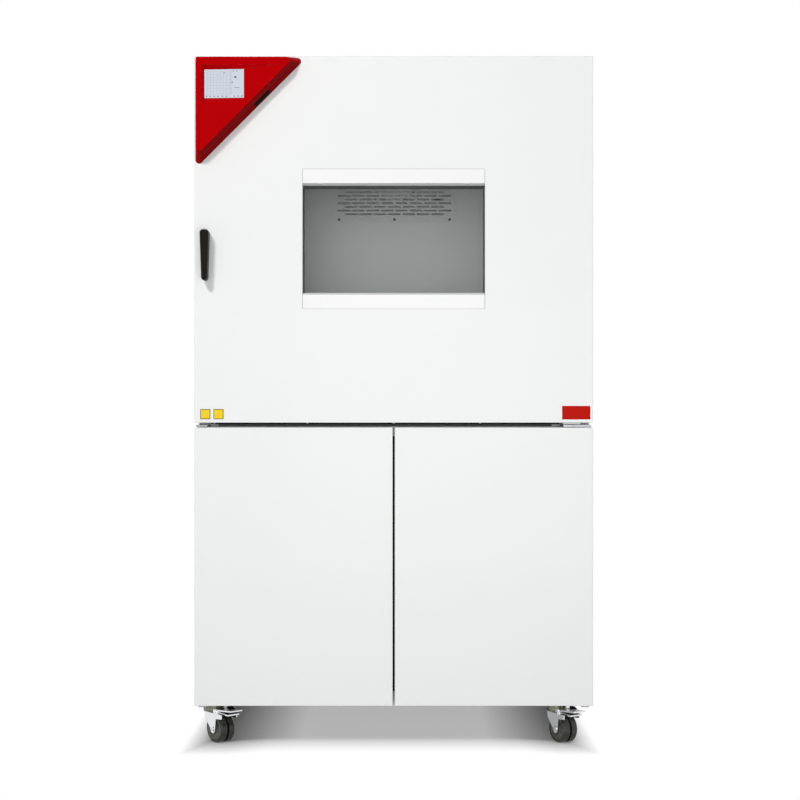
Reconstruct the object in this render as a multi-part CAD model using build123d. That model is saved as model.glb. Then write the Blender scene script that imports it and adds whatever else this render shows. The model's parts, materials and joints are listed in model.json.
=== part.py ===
from build123d import *
import math
import os

# Environmental test chamber on casters: an insulated chamber with a windowed door above a
# machine compartment with two service doors. Millimetres, front towards -Y, +Z up.
# The origin is on the floor, under the middle of the bounding box.

# Whole cabinet
cabinet_width = 1115
cabinet_depth = 925
main_door_height = 1025.5
service_door_height = 779
door_gap = 13.5
ledge_rise = 2
rear_proud = 25
side_proud = 12
sheet = 1.5
edge_radius = 2
fit_gap = 0.3
running_gap = 0.05
seat_gap = 0.1

# Base frame and housing
base_height = 40
base_channel_width = 60
channel_wall = 2
door_bottom_rise = 7
cross_channel_width = 50
cross_channel_spacing = 300
post_flange = 30
deck_thickness = 2
deck_lip = 25
louvre_width = 120
louvre_height = 6
louvre_pitch = 24
louvre_rows = 8
louvre_columns = 3

# Chamber
chamber_width = 735
chamber_height = 700
chamber_depth = 443
chamber_floor_rise = 175
plenum_depth = 150
insulation_back = 100
liner_flange = 45
duct_air_gap = 25

# Main door
main_door_thickness = 85
seal_gap = 10
gasket_width = 15
gasket_inset = 15
hinge_inset = 21
hinge_setback = 60
hinge_pin_radius = 5
bush_radius = 11
bush_length = 20
washer_radius = 8
bracket_thickness = 5
bracket_half_width = 11
bracket_span = 79
notch_front = 30
notch_depth = 14

# Door window
window_width = 508
window_height = 300
window_bottom = 1283.7
window_strip = 45.8
window_side_gap = 1.2
strip_depth = 12
strip_wall = 2
strip_bevel = 6
pane_thickness = 4
window_frame_wall = 12
window_screw_x = 206
window_screw_radius = 6

# Control housing on the door's top left corner
housing_leg = 310
housing_edge = 3
housing_top_edge = 5.5
housing_proud = 52
housing_draft = 7.2
housing_long_draft = 16
housing_tip_radius = 10
housing_corner_radius = 4
recess_left = 23
recess_top = 28.5
recess_width = 227
recess_height = 104
recess_flat_width = 125
recess_depth = 14
recess_lip = 8
screen_width = 110
screen_height = 79
screen_thickness = 1.5
screen_left = 7
screen_top = 12
port_length = 58
port_height = 14
port_depth = 5.5
port_setback = 6
port_offset = 52
flap_thickness = 2.5
flap_swing_room = 4

# Door handle
handle_height = 141
handle_width_top = 28
handle_width_bottom = 22
handle_proud = 52
handle_bottom = 1315
handle_inset = 32.5
handle_pin_radius = 3
handle_post_radius = 6
handle_post_height = 100
handle_chamfer = 5

# Service doors
service_door_thickness = 40
service_gap = 10
centre_gap = 6
service_hinge_setback = 16
service_pin_radius = 4
corner_block = 30
pan_lip = 15
catch_width = 40
catch_height = 14
left_bracket_span = 32

# Slotted air baffle and fan
baffle_width = 396
baffle_height = 243
baffle_thickness = 1.5
slot_length = 41
slot_height = 6
slot_pitch = 45
slot_row_pitch = 11.5
slot_first_row = 24.4
slot_rows = 18
slots_short_row = 7
baffle_screw_spacing = 173
baffle_screw_rise = 7.5
baffle_screw_radius = 4
fan_clearance = 3
fan_inlet_radius = 90
fan_hub_radius = 65
fan_radius = 105
fan_blades = 10
fan_blade_depth = 40
blade_bow = 9
fan_shaft_radius = 6
shaft_hole_radius = 20
tray_depth = 25
nozzle_length = 18
motor_radius = 60
motor_length = 90
motor_plate = 160
sensor_x = 135
sensor_rise = 526
sensor_length = 20

# Coil, heater, shelf and port
coil_width = 600
coil_height = 330
coil_depth = 70
coil_rise = 40
coil_fins = 24
coil_tubes = 3
heater_rods = 3
heater_rod_radius = 5
heater_rise = 400
heater_pitch = 22
shelf_depth = 380
shelf_setback = 40
shelf_wires = 13
shelf_wire_radius = 2
shelf_frame = 7
shelf_level = 95
rail_width = 16
rail_height = 30
rail_levels = 3
rail_pitch = 200
port_radius = 25
port_wall = 3
port_flange_radius = 40
port_flange = 2
port_height_in_chamber = 350
port_inset_y = 220
plug_length = 60
plug_head_radius = 34

# Machine compartment
compressor_radius = 95
compressor_height = 230
compressor_taper = 20
compressor_dome = 40
compressor_x = 250
compressor_y = 330
condenser_width = 420
condenser_height = 420
condenser_depth = 60
condenser_x = -220
condenser_rise = 60
condenser_back_gap = 40
shroud_depth = 50
condenser_fan_radius = 150
condenser_fan_blades = 5
condenser_hub_radius = 40
condenser_tip_gap = 3
condenser_blade_pitch = 30
condenser_motor_length = 60
receiver_radius = 50
receiver_height = 240
receiver_dome = 14
receiver_x = 60
receiver_y = 420
pipe_radius = 7
pipe_bend = 35
bend_steps = 3
enclosure_width = 140
enclosure_depth = 380
enclosure_height = 420
enclosure_rise = 60
enclosure_inset_y = 60
switch_inset_y = 110
switch_drop = 70
switch_plate = 50
switch_radius = 18
spigot_radius = 8
spigot_bore = 6
spigot_inset = 177.5
spigot_rise = 60
gland_radius = 14
gland_proud = 18
gland_inset = 177.5
socket_inset = 257.5

# Casters
caster_height = 108
caster_pad = 12
caster_left_inset = 36.5
caster_right_inset = 87.5
caster_front_inset = 159
caster_rear_inset = 120
caster_left_angle = -50
caster_right_angle = -61
wheel_radius = 40
tyre_width = 20
tyre_gap = 8
tyre_chamfer = 4
wheel_core_radius = 17
hub_recess = 5
rim_radius = 31
axle_radius = 5
trail = 35
fork_back = 4
fork_front = 78
fork_lip = 9
fork_tip_radius = 12
fork_wall = 3
fork_side_gap = 1
fork_crown_gap = 2
plate_length = 66
plate_width = 66
plate_thickness = 3
race_radius = 28
lower_race_height = 7
kingpin_radius = 6
kingpin_head_radius = 10
kingpin_head = 4
pedal_length = 80
lever_reach = 64
lever_drop = 9
pedal_width = 40
pedal_thickness = 4
pedal_rise = 7
pedal_pin_radius = 2.5

# Places worked out from the sizes
half_width = cabinet_width / 2
half_depth = (housing_proud + cabinet_depth + rear_proud) / 2
front = housing_proud - half_depth
back = front + cabinet_depth
lower_front = front + service_door_thickness + service_gap
upper_front = front + main_door_thickness + seal_gap
base_bottom = caster_height + caster_pad
base_top = base_bottom + base_height
service_bottom = base_bottom + door_bottom_rise
service_top = service_bottom + service_door_height
deck_top = service_top + ledge_rise
deck_bottom = deck_top - deck_thickness
door_bottom = service_top + door_gap
cabinet_top = door_bottom + main_door_height
door_back = front + main_door_thickness
floor_z = deck_top + chamber_floor_rise
ceiling_z = floor_z + chamber_height
half_chamber = chamber_width / 2
duct_front = upper_front + chamber_depth
liner_back = duct_front + plenum_depth
foam_back = liner_back + sheet + insulation_back
hinge_x = half_width - hinge_inset
hinge_y = front + hinge_setback
service_hinge_y = front + service_hinge_setback
window_top = window_bottom + window_height
fan_z = ceiling_z - fan_radius - fan_clearance
baffle_bottom = ceiling_z - baffle_height
spigot_x = spigot_inset - half_width
gland_x = half_width - gland_inset
socket_x = half_width - socket_inset


def block(x0, x1, y0, y1, z0, z1):
    """A box given by its limits."""
    size = Box(x1 - x0, y1 - y0, z1 - z0)
    return Pos((x0 + x1) / 2, (y0 + y1) / 2, (z0 + z1) / 2) * size


def post(x, y, z0, z1, radius):
    """An upright cylinder."""
    return Pos(x, y, (z0 + z1) / 2) * Cylinder(radius, z1 - z0)


def rod_along_x(x0, x1, y, z, radius):
    return Pos((x0 + x1) / 2, y, z) * Rot(0, 90, 0) * Cylinder(radius, x1 - x0)


def rod_along_y(x, y0, y1, z, radius):
    return Pos(x, (y0 + y1) / 2, z) * Rot(90, 0, 0) * Cylinder(radius, y1 - y0)


def prism_along_x(points, x0, x1):
    """A (y, z) outline drawn out between two x places."""
    outline = Plane.YZ.offset(x0) * make_face(Polyline(*points, close=True))
    return extrude(outline, amount=x1 - x0)


def prism_along_y(points, y0, y1):
    """An (x, z) outline drawn back between two depths."""
    outline = Plane.XZ.offset(-y0) * make_face(Polyline(*points, close=True))
    return extrude(outline, amount=y0 - y1)


def prism_up(points, z0, z1):
    """An (x, y) outline drawn up between two heights."""
    outline = Plane.XY.offset(z0) * make_face(Polyline(*points, close=True))
    return extrude(outline, amount=z1 - z0)


def write(node, *pieces):
    """Write one node, each of its pieces a solid of its own."""
    solids = [solid for piece in pieces for solid in piece.solids()]
    export_step(solids[0] if len(solids) == 1 else Compound(solids), f"parts/{node}.step")


# Base and lower housing


def rail_outline(outer, inner):
    """Section of a base channel: an upright web and a flange that points inwards."""
    step = math.copysign(channel_wall, inner - outer)
    low = base_bottom
    high = base_top - channel_wall
    return [
        (outer, low), (inner, low), (inner, low + channel_wall), (outer + step, low + channel_wall),
        (outer + step, high), (outer, high),
    ]


def base_frame():
    """Ring of channels with a gusset over each caster, two cross channels and the floor sheet."""
    wall = channel_wall
    width = base_channel_width
    top = base_top - wall
    front_rail = prism_along_x(rail_outline(lower_front, lower_front + width), -half_width, half_width)
    rear_rail = prism_along_x(rail_outline(back, back - width), -half_width, half_width)
    ring = front_rail + rear_rail
    for side in (-1, 1):
        section = rail_outline(side * half_width, side * (half_width - width))
        ring += prism_along_y(section, lower_front, back)
    reach = plate_length / 2
    for x, y, _ in caster_places():
        ring += block(x - reach, x + reach, y - reach, y + reach, base_bottom, base_bottom + wall)
    crosses = []
    for x in (-cross_channel_spacing, cross_channel_spacing):
        half = cross_channel_width / 2
        near = lower_front + width
        far = back - width
        flange = block(x - half, x + half, near, far, base_bottom, base_bottom + wall)
        web = block(x - wall / 2, x + wall / 2, near, far, base_bottom, top)
        crosses.append(flange + web)
    floor_sheet = block(-half_width, half_width, lower_front, back, top, base_top)
    return ring, *crosses, floor_sheet


def caster_places():
    """Swivel axes and angles, front pair then rear pair, left before right."""
    rows = (front + caster_front_inset, back - caster_rear_inset)
    columns = (
        (caster_left_inset - half_width, caster_left_angle),
        (half_width - caster_right_inset, caster_right_angle),
    )
    return [(x, y, angle) for y in rows for x, angle in columns]


def switch_place():
    return lower_front + switch_inset_y, deck_bottom - switch_drop


def lower_side_panels():
    """Side sheets with a folded flange at the front."""
    panels = []
    for side in (-1, 1):
        outer = side * half_width
        inner = side * (half_width - sheet)
        fold = side * (half_width - post_flange)
        skin = block(min(outer, inner), max(outer, inner), lower_front, back, base_top, deck_bottom)
        flange = block(
            min(inner, fold), max(inner, fold), lower_front, lower_front + sheet, base_top, deck_bottom
        )
        panels.append(skin + flange)
    y, z = switch_place()
    hole = rod_along_x(half_width - 2 * sheet, half_width + sheet, y, z, switch_radius)
    return panels[0], panels[1] - hole


def compartment_deck():
    """Floor of the upper section, with a lip down its front."""
    top = block(-half_width, half_width, lower_front, back, deck_bottom, deck_top)
    inset = half_width - post_flange
    lip = block(-inset, inset, lower_front, lower_front + sheet, deck_bottom - deck_lip, deck_bottom)
    pipe_way = Pos(*riser_place(), deck_bottom) * Cylinder(2 * pipe_radius, 4 * deck_thickness)
    return top + lip - pipe_way


def louvred_panel(z0, z1, louvre_base):
    """Back panel between two heights with columns of air slots."""
    panel = block(sheet - half_width, half_width - sheet, back - sheet, back, z0, z1)
    slots = []
    for column in range(louvre_columns):
        x = (column - (louvre_columns - 1) / 2) * 2 * louvre_width
        for row in range(louvre_rows):
            z = louvre_base + row * louvre_pitch
            slots.append(
                block(
                    x - louvre_width / 2, x + louvre_width / 2,
                    back - 2 * sheet, back + sheet, z, z + louvre_height,
                )
            )
    return panel - slots


def back_panels():
    lower = louvred_panel(base_top, deck_bottom, base_top + condenser_rise + condenser_height / 2)
    upper = louvred_panel(deck_top, cabinet_top - sheet, fan_z - louvre_rows * louvre_pitch / 2)
    return lower, upper


# Upper housing and chamber


def flange_half():
    return half_chamber + liner_flange


def upper_jacket():
    """Painted outer wrap with a front face cut for the liner's flange."""
    outer = block(-half_width, half_width, upper_front, back, deck_top, cabinet_top)
    edges = outer.edges().filter_by(Axis.Y).group_by(Axis.Z)[-1]
    outer = fillet(edges, edge_radius)
    inner = block(
        sheet - half_width, half_width - sheet, upper_front + sheet, back + sheet,
        deck_top - sheet, cabinet_top - sheet,
    )
    mouth = block(
        -flange_half(), flange_half(), upper_front - sheet, upper_front + 2 * sheet,
        floor_z - liner_flange, ceiling_z + liner_flange,
    )
    return outer - inner - mouth - port_hole()


def port_place():
    return upper_front + port_inset_y, floor_z + port_height_in_chamber


def port_hole():
    y, z = port_place()
    radius = port_radius + port_wall + seat_gap
    return rod_along_x(-half_width - sheet, sheet - half_chamber, y, z, radius)


def shaft_hole():
    return rod_along_y(0, liner_back - sheet, foam_back + sheet, fan_z, shaft_hole_radius)


def insulation():
    """Foam that fills the space between jacket and liner."""
    foam = block(
        sheet - half_width, half_width - sheet, upper_front + sheet, foam_back,
        deck_top, cabinet_top - sheet,
    )
    space = block(
        -half_chamber - sheet, half_chamber + sheet, upper_front, liner_back + sheet,
        floor_z - sheet, ceiling_z + sheet,
    )
    pipe_way = Pos(*riser_place(), deck_top) * Cylinder(2 * pipe_radius, 2 * chamber_floor_rise)
    return foam - space - port_hole() - shaft_hole() - pipe_way


def chamber_liner():
    """Stainless inner box, open to the front, with a flange round its mouth."""
    outer = block(
        -half_chamber - sheet, half_chamber + sheet, upper_front, liner_back + sheet,
        floor_z - sheet, ceiling_z + sheet,
    )
    flange = block(
        -flange_half(), flange_half(), upper_front, upper_front + sheet,
        floor_z - liner_flange, ceiling_z + liner_flange,
    )
    space = block(
        -half_chamber, half_chamber, upper_front - sheet, liner_back, floor_z, ceiling_z
    )
    pipe_way = Pos(*riser_place(), floor_z) * Cylinder(2 * pipe_radius, 4 * sheet)
    return outer + flange - space - port_hole() - shaft_hole() - pipe_way


def baffle_window():
    """Opening in the duct wall behind the slotted baffle."""
    inset = baffle_width / 2 - slot_first_row / 2
    return block(
        -inset, inset, duct_front - sheet, duct_front + 2 * sheet,
        baffle_bottom + slot_first_row / 2, ceiling_z - duct_air_gap - slot_first_row / 2,
    )


def rear_duct_wall():
    """Sheet between chamber and plenum, with air gaps above and below."""
    wall = block(
        -half_chamber, half_chamber, duct_front, duct_front + sheet,
        floor_z + duct_air_gap, ceiling_z - duct_air_gap,
    )
    return wall - baffle_window()


def slotted_air_baffle():
    """Panel of staggered slots in front of the fan inlet."""
    panel = block(
        -baffle_width / 2, baffle_width / 2, duct_front - baffle_thickness, duct_front,
        baffle_bottom, ceiling_z - fit_gap,
    )
    reach = slot_length / 2
    rise = slot_height / 2
    outline = [
        (-reach, 0), (rise - reach, rise), (reach - rise, rise),
        (reach, 0), (reach - rise, -rise), (rise - reach, -rise),
    ]
    slot = make_face(Polyline(*outline, close=True))
    places = []
    for row in range(slot_rows):
        count = slots_short_row + row % 2
        z = baffle_bottom + slot_first_row + row * slot_row_pitch
        places += [((i - (count - 1) / 2) * slot_pitch, z) for i in range(count)]
    plane = Plane.XZ.offset(-duct_front)
    return panel - [extrude(plane * Pos(x, z) * slot, amount=2 * baffle_thickness) for x, z in places]


def baffle_screws():
    """Cap screws along the baffle's lower edge, clear of the bottom row of slots."""
    face = duct_front - baffle_thickness
    z = baffle_bottom + baffle_screw_rise
    spots = (-baffle_screw_spacing, 0, baffle_screw_spacing)
    return [rod_along_y(x, face - baffle_thickness, face, z, baffle_screw_radius) for x in spots]


def fan_ring():
    """Tray behind the duct wall that carries the fan's inlet nozzle."""
    start = duct_front + sheet
    half = baffle_width / 2
    low = baffle_bottom
    high = ceiling_z - duct_air_gap
    tray = block(-half, half, start, start + tray_depth, low, high)
    space = block(
        sheet - half, half - sheet, start - sheet, start + tray_depth - sheet, low + sheet, high - sheet
    )
    end = start + tray_depth
    nozzle = rod_along_y(0, end - sheet, end + nozzle_length, fan_z, fan_inlet_radius + sheet)
    mouth = rod_along_y(0, start, end + 2 * nozzle_length, fan_z, fan_inlet_radius)
    return tray - space + nozzle - mouth


def fan_front():
    """Front of the blades, just behind the nozzle."""
    return duct_front + sheet + tray_depth + nozzle_length + sensor_length / 4


def circulation_fan():
    """Radial fan wheel with curved blades, hub cap and drive shaft."""
    start = fan_front()
    end = start + fan_blade_depth
    disc = rod_along_y(0, end, end + 2 * sheet, fan_z, fan_radius)
    hub = rod_along_y(0, start - nozzle_length, end, fan_z, fan_hub_radius / 2)
    cap = rod_along_y(0, start - nozzle_length - sheet, start - nozzle_length, fan_z, fan_hub_radius)
    shaft_end = foam_back + motor_length / 2
    shaft = rod_along_y(0, end, shaft_end, fan_z, fan_shaft_radius)
    wheel = disc + hub + cap + shaft
    plane = Plane.XZ.offset(-end)
    inner = fan_hub_radius / 2
    for blade in range(fan_blades):
        arc = ThreePointArc(
            (inner - sheet, 0), ((inner + fan_radius) / 2, blade_bow), (fan_radius - sheet, 0)
        )
        strip = make_face([arc, *box_back(arc, sheet)])
        turn = Rot(0, 0, blade * 360 / fan_blades)
        wheel += Pos(0, 0, fan_z) * extrude(plane * turn * strip, amount=fan_blade_depth)
    return wheel


def box_back(arc, thickness):
    """The other three sides of a strip that follows an arc."""
    shift = Vector(0, -thickness, 0)
    low = Pos(shift) * arc
    return [low, Line(arc @ 0, low @ 0), Line(arc @ 1, low @ 1)]


def fan_motor():
    """Motor on a square plate behind the insulation, bored for the shaft."""
    plate = block(
        -motor_plate / 2, motor_plate / 2, foam_back, foam_back + 2 * sheet,
        fan_z - motor_plate / 2, fan_z + motor_plate / 2,
    )
    body = rod_along_y(0, foam_back + 2 * sheet, foam_back + motor_length, fan_z, motor_radius)
    bore = rod_along_y(
        0, foam_back - sheet, foam_back + motor_length / 2 + fit_gap, fan_z,
        fan_shaft_radius + running_gap,
    )
    return plate + body - bore


def evaporator():
    """Finned coil hung on the liner's back between two end plates, clear of the floor."""
    half = coil_width / 2
    low = floor_z + coil_rise
    high = low + coil_height
    near = liner_back - coil_depth
    coil = block(-half, half, near + 2 * sheet, liner_back - 2 * sheet, low, high)
    pitch = coil_width / (coil_fins + 1)
    gaps = [
        block(x - pitch / 4, x + pitch / 4, near, near + coil_depth / 3, low - sheet, high + sheet)
        for x in (i * pitch - half for i in range(1, coil_fins + 1))
    ]
    plates = [block(x - sheet, x + sheet, near, liner_back, low, high) for x in (-half, half)]
    tubes = [
        rod_along_x(-half - 4 * sheet, half + 4 * sheet, liner_back - coil_depth / 2, z, pipe_radius)
        for z in (low + coil_height * i / (coil_tubes + 1) for i in range(1, coil_tubes + 1))
    ]
    return coil - gaps + plates + tubes


def heater():
    """Straight heating rods held between two brackets on the liner's back."""
    half = coil_width / 2
    y = liner_back - coil_depth / 2
    base = floor_z + heater_rise
    top = base + (heater_rods - 1) * heater_pitch
    brackets = [
        block(x - sheet, x + sheet, y - heater_pitch / 2, liner_back, base - heater_pitch / 2,
              top + heater_pitch / 2)
        for x in (-half, half)
    ]
    rods = [
        rod_along_x(-half - 2 * sheet, half + 2 * sheet, y, base + i * heater_pitch, heater_rod_radius)
        for i in range(heater_rods)
    ]
    return Part() + brackets + rods


def temperature_sensor():
    """Probe head on the tray, beside the fan inlet."""
    seat = duct_front + sheet + tray_depth - sheet
    z = floor_z + sensor_rise
    head = block(
        sensor_x - sensor_length / 2, sensor_x + sensor_length / 2, seat - sensor_length / 2, seat,
        z - sensor_length / 4, z + sensor_length / 4,
    )
    tip = rod_along_y(sensor_x, duct_front + 2 * sheet, seat, z, sensor_length / 8)
    return head + tip


def shelf_rails():
    """Angle rails on both side walls of the chamber, one pair a level."""
    rails = []
    for level in range(rail_levels):
        top = floor_z + shelf_level + level * rail_pitch
        for side in (-1, 1):
            wall = side * half_chamber
            web = wall - side * sheet
            lip = wall - side * rail_width
            upright = block(
                min(wall, web), max(wall, web), upper_front + duct_air_gap, duct_front - duct_air_gap,
                top - sheet, top + rail_height,
            )
            ledge = block(
                min(web, lip), max(web, lip), upper_front + duct_air_gap, duct_front - duct_air_gap,
                top - sheet, top,
            )
            rails.append(upright + ledge)
    return rails


def shelf():
    """Wires in a square frame, resting on the lowest pair of rails."""
    low = floor_z + shelf_level + fit_gap
    half = half_chamber - 2 * sheet
    near = upper_front + shelf_setback
    far = near + shelf_depth
    outer = block(-half, half, near, far, low, low + shelf_frame)
    inner = block(
        shelf_frame - half, half - shelf_frame, near + shelf_frame, far - shelf_frame,
        low - sheet, low + shelf_frame + sheet,
    )
    pitch = 2 * half / (shelf_wires + 1)
    z = low + shelf_frame / 2
    wires = [
        rod_along_y(i * pitch - half, near + sheet, far - sheet, z, shelf_wire_radius)
        for i in range(1, shelf_wires + 1)
    ]
    return outer - inner + wires


def access_port():
    """Sleeve through the left wall with a flange on the outside."""
    y, z = port_place()
    tube = rod_along_x(-half_width, -half_chamber, y, z, port_radius + port_wall)
    flange = rod_along_x(-half_width - port_flange, -half_width, y, z, port_flange_radius)
    bore = rod_along_x(-half_width - 2 * port_flange, sheet - half_chamber, y, z, port_radius)
    return tube + flange - bore


def port_plug():
    """Silicone stopper with a round head."""
    y, z = port_place()
    face = -half_width - port_flange - fit_gap
    head = rod_along_x(-half_width - side_proud, face, y, z, plug_head_radius)
    stem = rod_along_x(face, face + plug_length, y, z, port_radius - fit_gap)
    return head + stem


# Hinges and catches


def hinge_brackets():
    """Top bracket, right and left middle brackets and the two small bottom ones."""
    thick = bracket_thickness
    half = bracket_half_width
    top_z = cabinet_top - ledge_rise - thick
    top_tab = block(hinge_x - half, hinge_x + half, hinge_y, upper_front, top_z, top_z + thick)
    top = top_tab + post(hinge_x, hinge_y, top_z, top_z + thick, half)
    top += post(hinge_x, hinge_y, notch_floor() - bush_length + fit_gap, top_z, hinge_pin_radius)
    tip = service_hinge_y - 2 * service_pin_radius
    right = half_width - door_gap / 4
    plate = block(right - bracket_span, right, tip, upper_front, deck_top, deck_top + thick)
    plate += post(hinge_x, hinge_y, deck_top + thick, door_bottom - fit_gap, washer_radius)
    plate += post(hinge_x, hinge_y, deck_top, door_bottom + bush_length - fit_gap, hinge_pin_radius)
    plate += service_pin(hinge_x, service_top, 1)
    left = block(-right, left_bracket_span - right, tip, upper_front, deck_top, deck_top + thick)
    left += service_pin(-hinge_x, service_top, 1)
    feet = []
    for x in (-hinge_x, hinge_x):
        foot_top = service_bottom - fit_gap
        foot = block(
            x - half, x + half, tip, lower_front, foot_top - thick + fit_gap, foot_top
        )
        feet.append(foot + service_pin(x, service_bottom, -1))
    return [top, plate, left, *feet]


def service_pin(x, z, side):
    """Pin into a service door's corner block from above (1) or below (-1)."""
    far = z + side * (ledge_rise if side > 0 else fit_gap)
    near = z - side * (corner_block / 2)
    return post(x, service_hinge_y, min(far, near), max(far, near), service_pin_radius)


def notch_floor():
    return cabinet_top - notch_depth


def service_door_catches():
    """Magnet blocks on the deck's lip that hold the service doors shut."""
    z = service_top - 2 * catch_height
    return [
        block(x - catch_width / 2, x + catch_width / 2, lower_front - service_gap + fit_gap, lower_front,
              z, z + catch_height)
        for x in (-1.5 * catch_width, 1.5 * catch_width)
    ]


# Main door


def hinge_notch(grow):
    """Room round the top bracket, open to the back, the right and above."""
    left = hinge_x - bracket_half_width - washer_radius / 2 - grow
    return block(
        left, half_width + notch_depth, front + notch_front - grow, door_back + notch_depth,
        notch_floor() - grow, cabinet_top + notch_depth,
    )


def door_bushes(radius):
    """The two hinge bushes as plain cylinders."""
    low = post(hinge_x, hinge_y, door_bottom, door_bottom + bush_length, radius)
    high = post(hinge_x, hinge_y, notch_floor() - bush_length, notch_floor(), radius)
    return low, high


def hinge_bushes():
    bore = post(hinge_x, hinge_y, door_bottom - sheet, cabinet_top, hinge_pin_radius + running_gap)
    return [bush - bore for bush in door_bushes(bush_radius)]


def window_cut(y0, y1):
    """The opening in the door's skin, strips included."""
    half = window_width / 2 + window_side_gap
    return block(-half, half, y0, y1, window_bottom - window_strip, window_top + window_strip)


def window_tunnel(y0, y1):
    half = window_width / 2
    return block(-half, half, y0, y1, window_bottom, window_top)


def frame_box():
    """Outline of the window frame inside the door."""
    half = window_width / 2 + window_frame_wall
    low = window_bottom - window_strip - window_frame_wall
    high = window_top + window_strip + window_frame_wall
    return block(-half, half, front + sheet, door_back - sheet, low, high)


def door_outer_shell():
    """Painted pan that wraps the front and sides of the door."""
    skin_back = door_back - sheet
    outer = block(-half_width, half_width, front, skin_back, door_bottom, cabinet_top)
    outer = fillet(outer.edges().group_by(Axis.Y)[0], edge_radius) - hinge_notch(0)
    space = block(
        sheet - half_width, half_width - sheet, front + sheet, door_back + sheet,
        door_bottom + sheet, cabinet_top - sheet,
    ) - hinge_notch(sheet)
    shell = outer - space - window_cut(front - sheet, front + 2 * sheet)
    return shell - list(door_bushes(bush_radius + seat_gap))


def door_inner_panel():
    """Back sheet of the door, cut for the window and the hinge notch."""
    panel = block(-half_width, half_width, door_back - sheet, door_back, door_bottom, cabinet_top)
    return panel - window_tunnel(door_back - 2 * sheet, door_back + sheet) - hinge_notch(0)


def door_insulation():
    foam = block(
        sheet - half_width, half_width - sheet, front + sheet, door_back - sheet,
        door_bottom + sheet, cabinet_top - sheet,
    )
    return foam - frame_box() - hinge_notch(sheet) - list(door_bushes(bush_radius + seat_gap))


def pane_front():
    return front + strip_depth


def window_frame():
    """Moulded tunnel through the door with a rebate for the outer pane."""
    rebate = window_cut(front, pane_front() + pane_thickness + seat_gap)
    return frame_box() - window_tunnel(front, door_back) - rebate


def window_panes():
    """Outer pane under the strips, and two panes in the tunnel."""
    half = window_width / 2 - seat_gap
    outer_half = window_width / 2 + window_side_gap - seat_gap
    outer = block(
        -outer_half, outer_half, pane_front(), pane_front() + pane_thickness,
        window_bottom - window_strip + seat_gap, window_top + window_strip - seat_gap,
    )
    inner = [
        block(-half, half, y, y + pane_thickness, window_bottom + seat_gap, window_top - seat_gap)
        for y in (front + main_door_thickness / 2, door_back - sheet - pane_thickness)
    ]
    return [outer, *inner]


def window_strips():
    """Cover strips above and below the glass, each with a sloping inner edge."""
    half = window_width / 2 + window_side_gap / 2
    strips = []
    for edge, side in ((window_bottom, -1), (window_top, 1)):
        far = edge + side * (window_strip - seat_gap)
        near = edge + side * strip_bevel
        points = [
            (pane_front(), far), (front, far), (front, near), (pane_front(), edge),
            (pane_front(), edge + side * strip_wall), (front + strip_wall, near + side * strip_wall),
            (front + strip_wall, far - side * strip_wall), (pane_front(), far - side * strip_wall),
        ]
        strips.append(prism_along_x(points, -half, half))
    return strips


def window_screws():
    """Flat head screws on the sloping edges of the strips."""
    slope = math.degrees(math.atan2(strip_bevel, strip_depth))
    tilts = {-1: slope, 1: 180 - slope}
    screws = []
    for edge, side in ((window_bottom, -1), (window_top, 1)):
        for x in (-window_screw_x, window_screw_x):
            middle = Pos(x, front + strip_depth / 2, edge + side * strip_bevel / 2)
            head = Cylinder(
                window_screw_radius, strip_wall / 2, align=(Align.CENTER, Align.CENTER, Align.MIN)
            )
            screws.append(middle * Rot(tilts[side], 0, 0) * head)
    return screws


def door_gasket():
    """Soft seal round the chamber's mouth, clear of its flange."""
    inner = half_chamber + gasket_inset
    outer = inner + gasket_width
    low = floor_z - gasket_inset
    high = ceiling_z + gasket_inset
    seal = block(-outer, outer, door_back, upper_front - fit_gap, low - gasket_width, high + gasket_width)
    return seal - block(-inner, inner, door_back - sheet, upper_front, low, high)


def housing_outline(inset, long_inset):
    """Right triangle in x and z, parallel to the door's corner, its tips rounded."""
    left = housing_edge - half_width + inset
    top = cabinet_top - housing_top_edge - inset
    leg = housing_leg - 2 * inset - math.sqrt(2) * long_inset
    triangle = make_face(Polyline((left, top), (left + leg, top), (left, top - leg), close=True))
    corner = triangle.vertices().sort_by_distance((left, top, 0))
    triangle = fillet(corner[1:], housing_tip_radius)
    nearest = triangle.vertices().sort_by_distance((left, top, 0))[0]
    return fillet(nearest, housing_corner_radius)


def recess_corner():
    """Top left corner of the sunken facet, on the housing's front face."""
    left = housing_edge + housing_draft - half_width
    return left + recess_left - housing_draft, cabinet_top - housing_top_edge - recess_top


def recess_tool():
    """Wedge that is deepest at the left and runs out at the right tip."""
    left, top = recess_corner()
    face = front - housing_proud
    low = top - recess_height
    outline = [
        (left, top), (left + recess_width, top), (left + recess_flat_width, low), (left, low)
    ]
    deep = [(x, z if z == top else z + recess_lip) for x, z in outline]
    shallow = Plane.XZ.offset(-face) * make_face(Polyline(*outline, close=True))
    sunk = Plane.XZ.offset(-face - recess_depth) * make_face(Polyline(*deep, close=True))
    body = loft([shallow.face(), sunk.face()], ruled=True)
    wedge = prism_up(
        [(left, face), (left, face + recess_depth), (left + recess_width, face)], low, top
    )
    return body & wedge


def hypotenuse_place():
    """Middle of the housing's long side at the door, and its plane."""
    left = housing_edge - half_width
    top = cabinet_top - housing_top_edge
    middle = Vector(left + housing_leg / 2, front, top - housing_leg / 2)
    return Plane(origin=middle, x_dir=(1, 0, 1), z_dir=(1, 0, -1))


def side_box(along, depth_in, depth_out, y0, y1):
    """A box on the housing's long side, by distances in and out of its surface."""
    plane = hypotenuse_place()
    size = Box(along, y1 - y0, depth_in + depth_out)
    return plane * Pos(port_offset, y_sign(plane) * (y0 + y1) / 2, (depth_out - depth_in) / 2) * size


def y_sign(plane):
    """Whether the plane's own y runs towards the front (1) or the back (-1)."""
    return 1 if plane.y_dir.Y < 0 else -1


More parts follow.
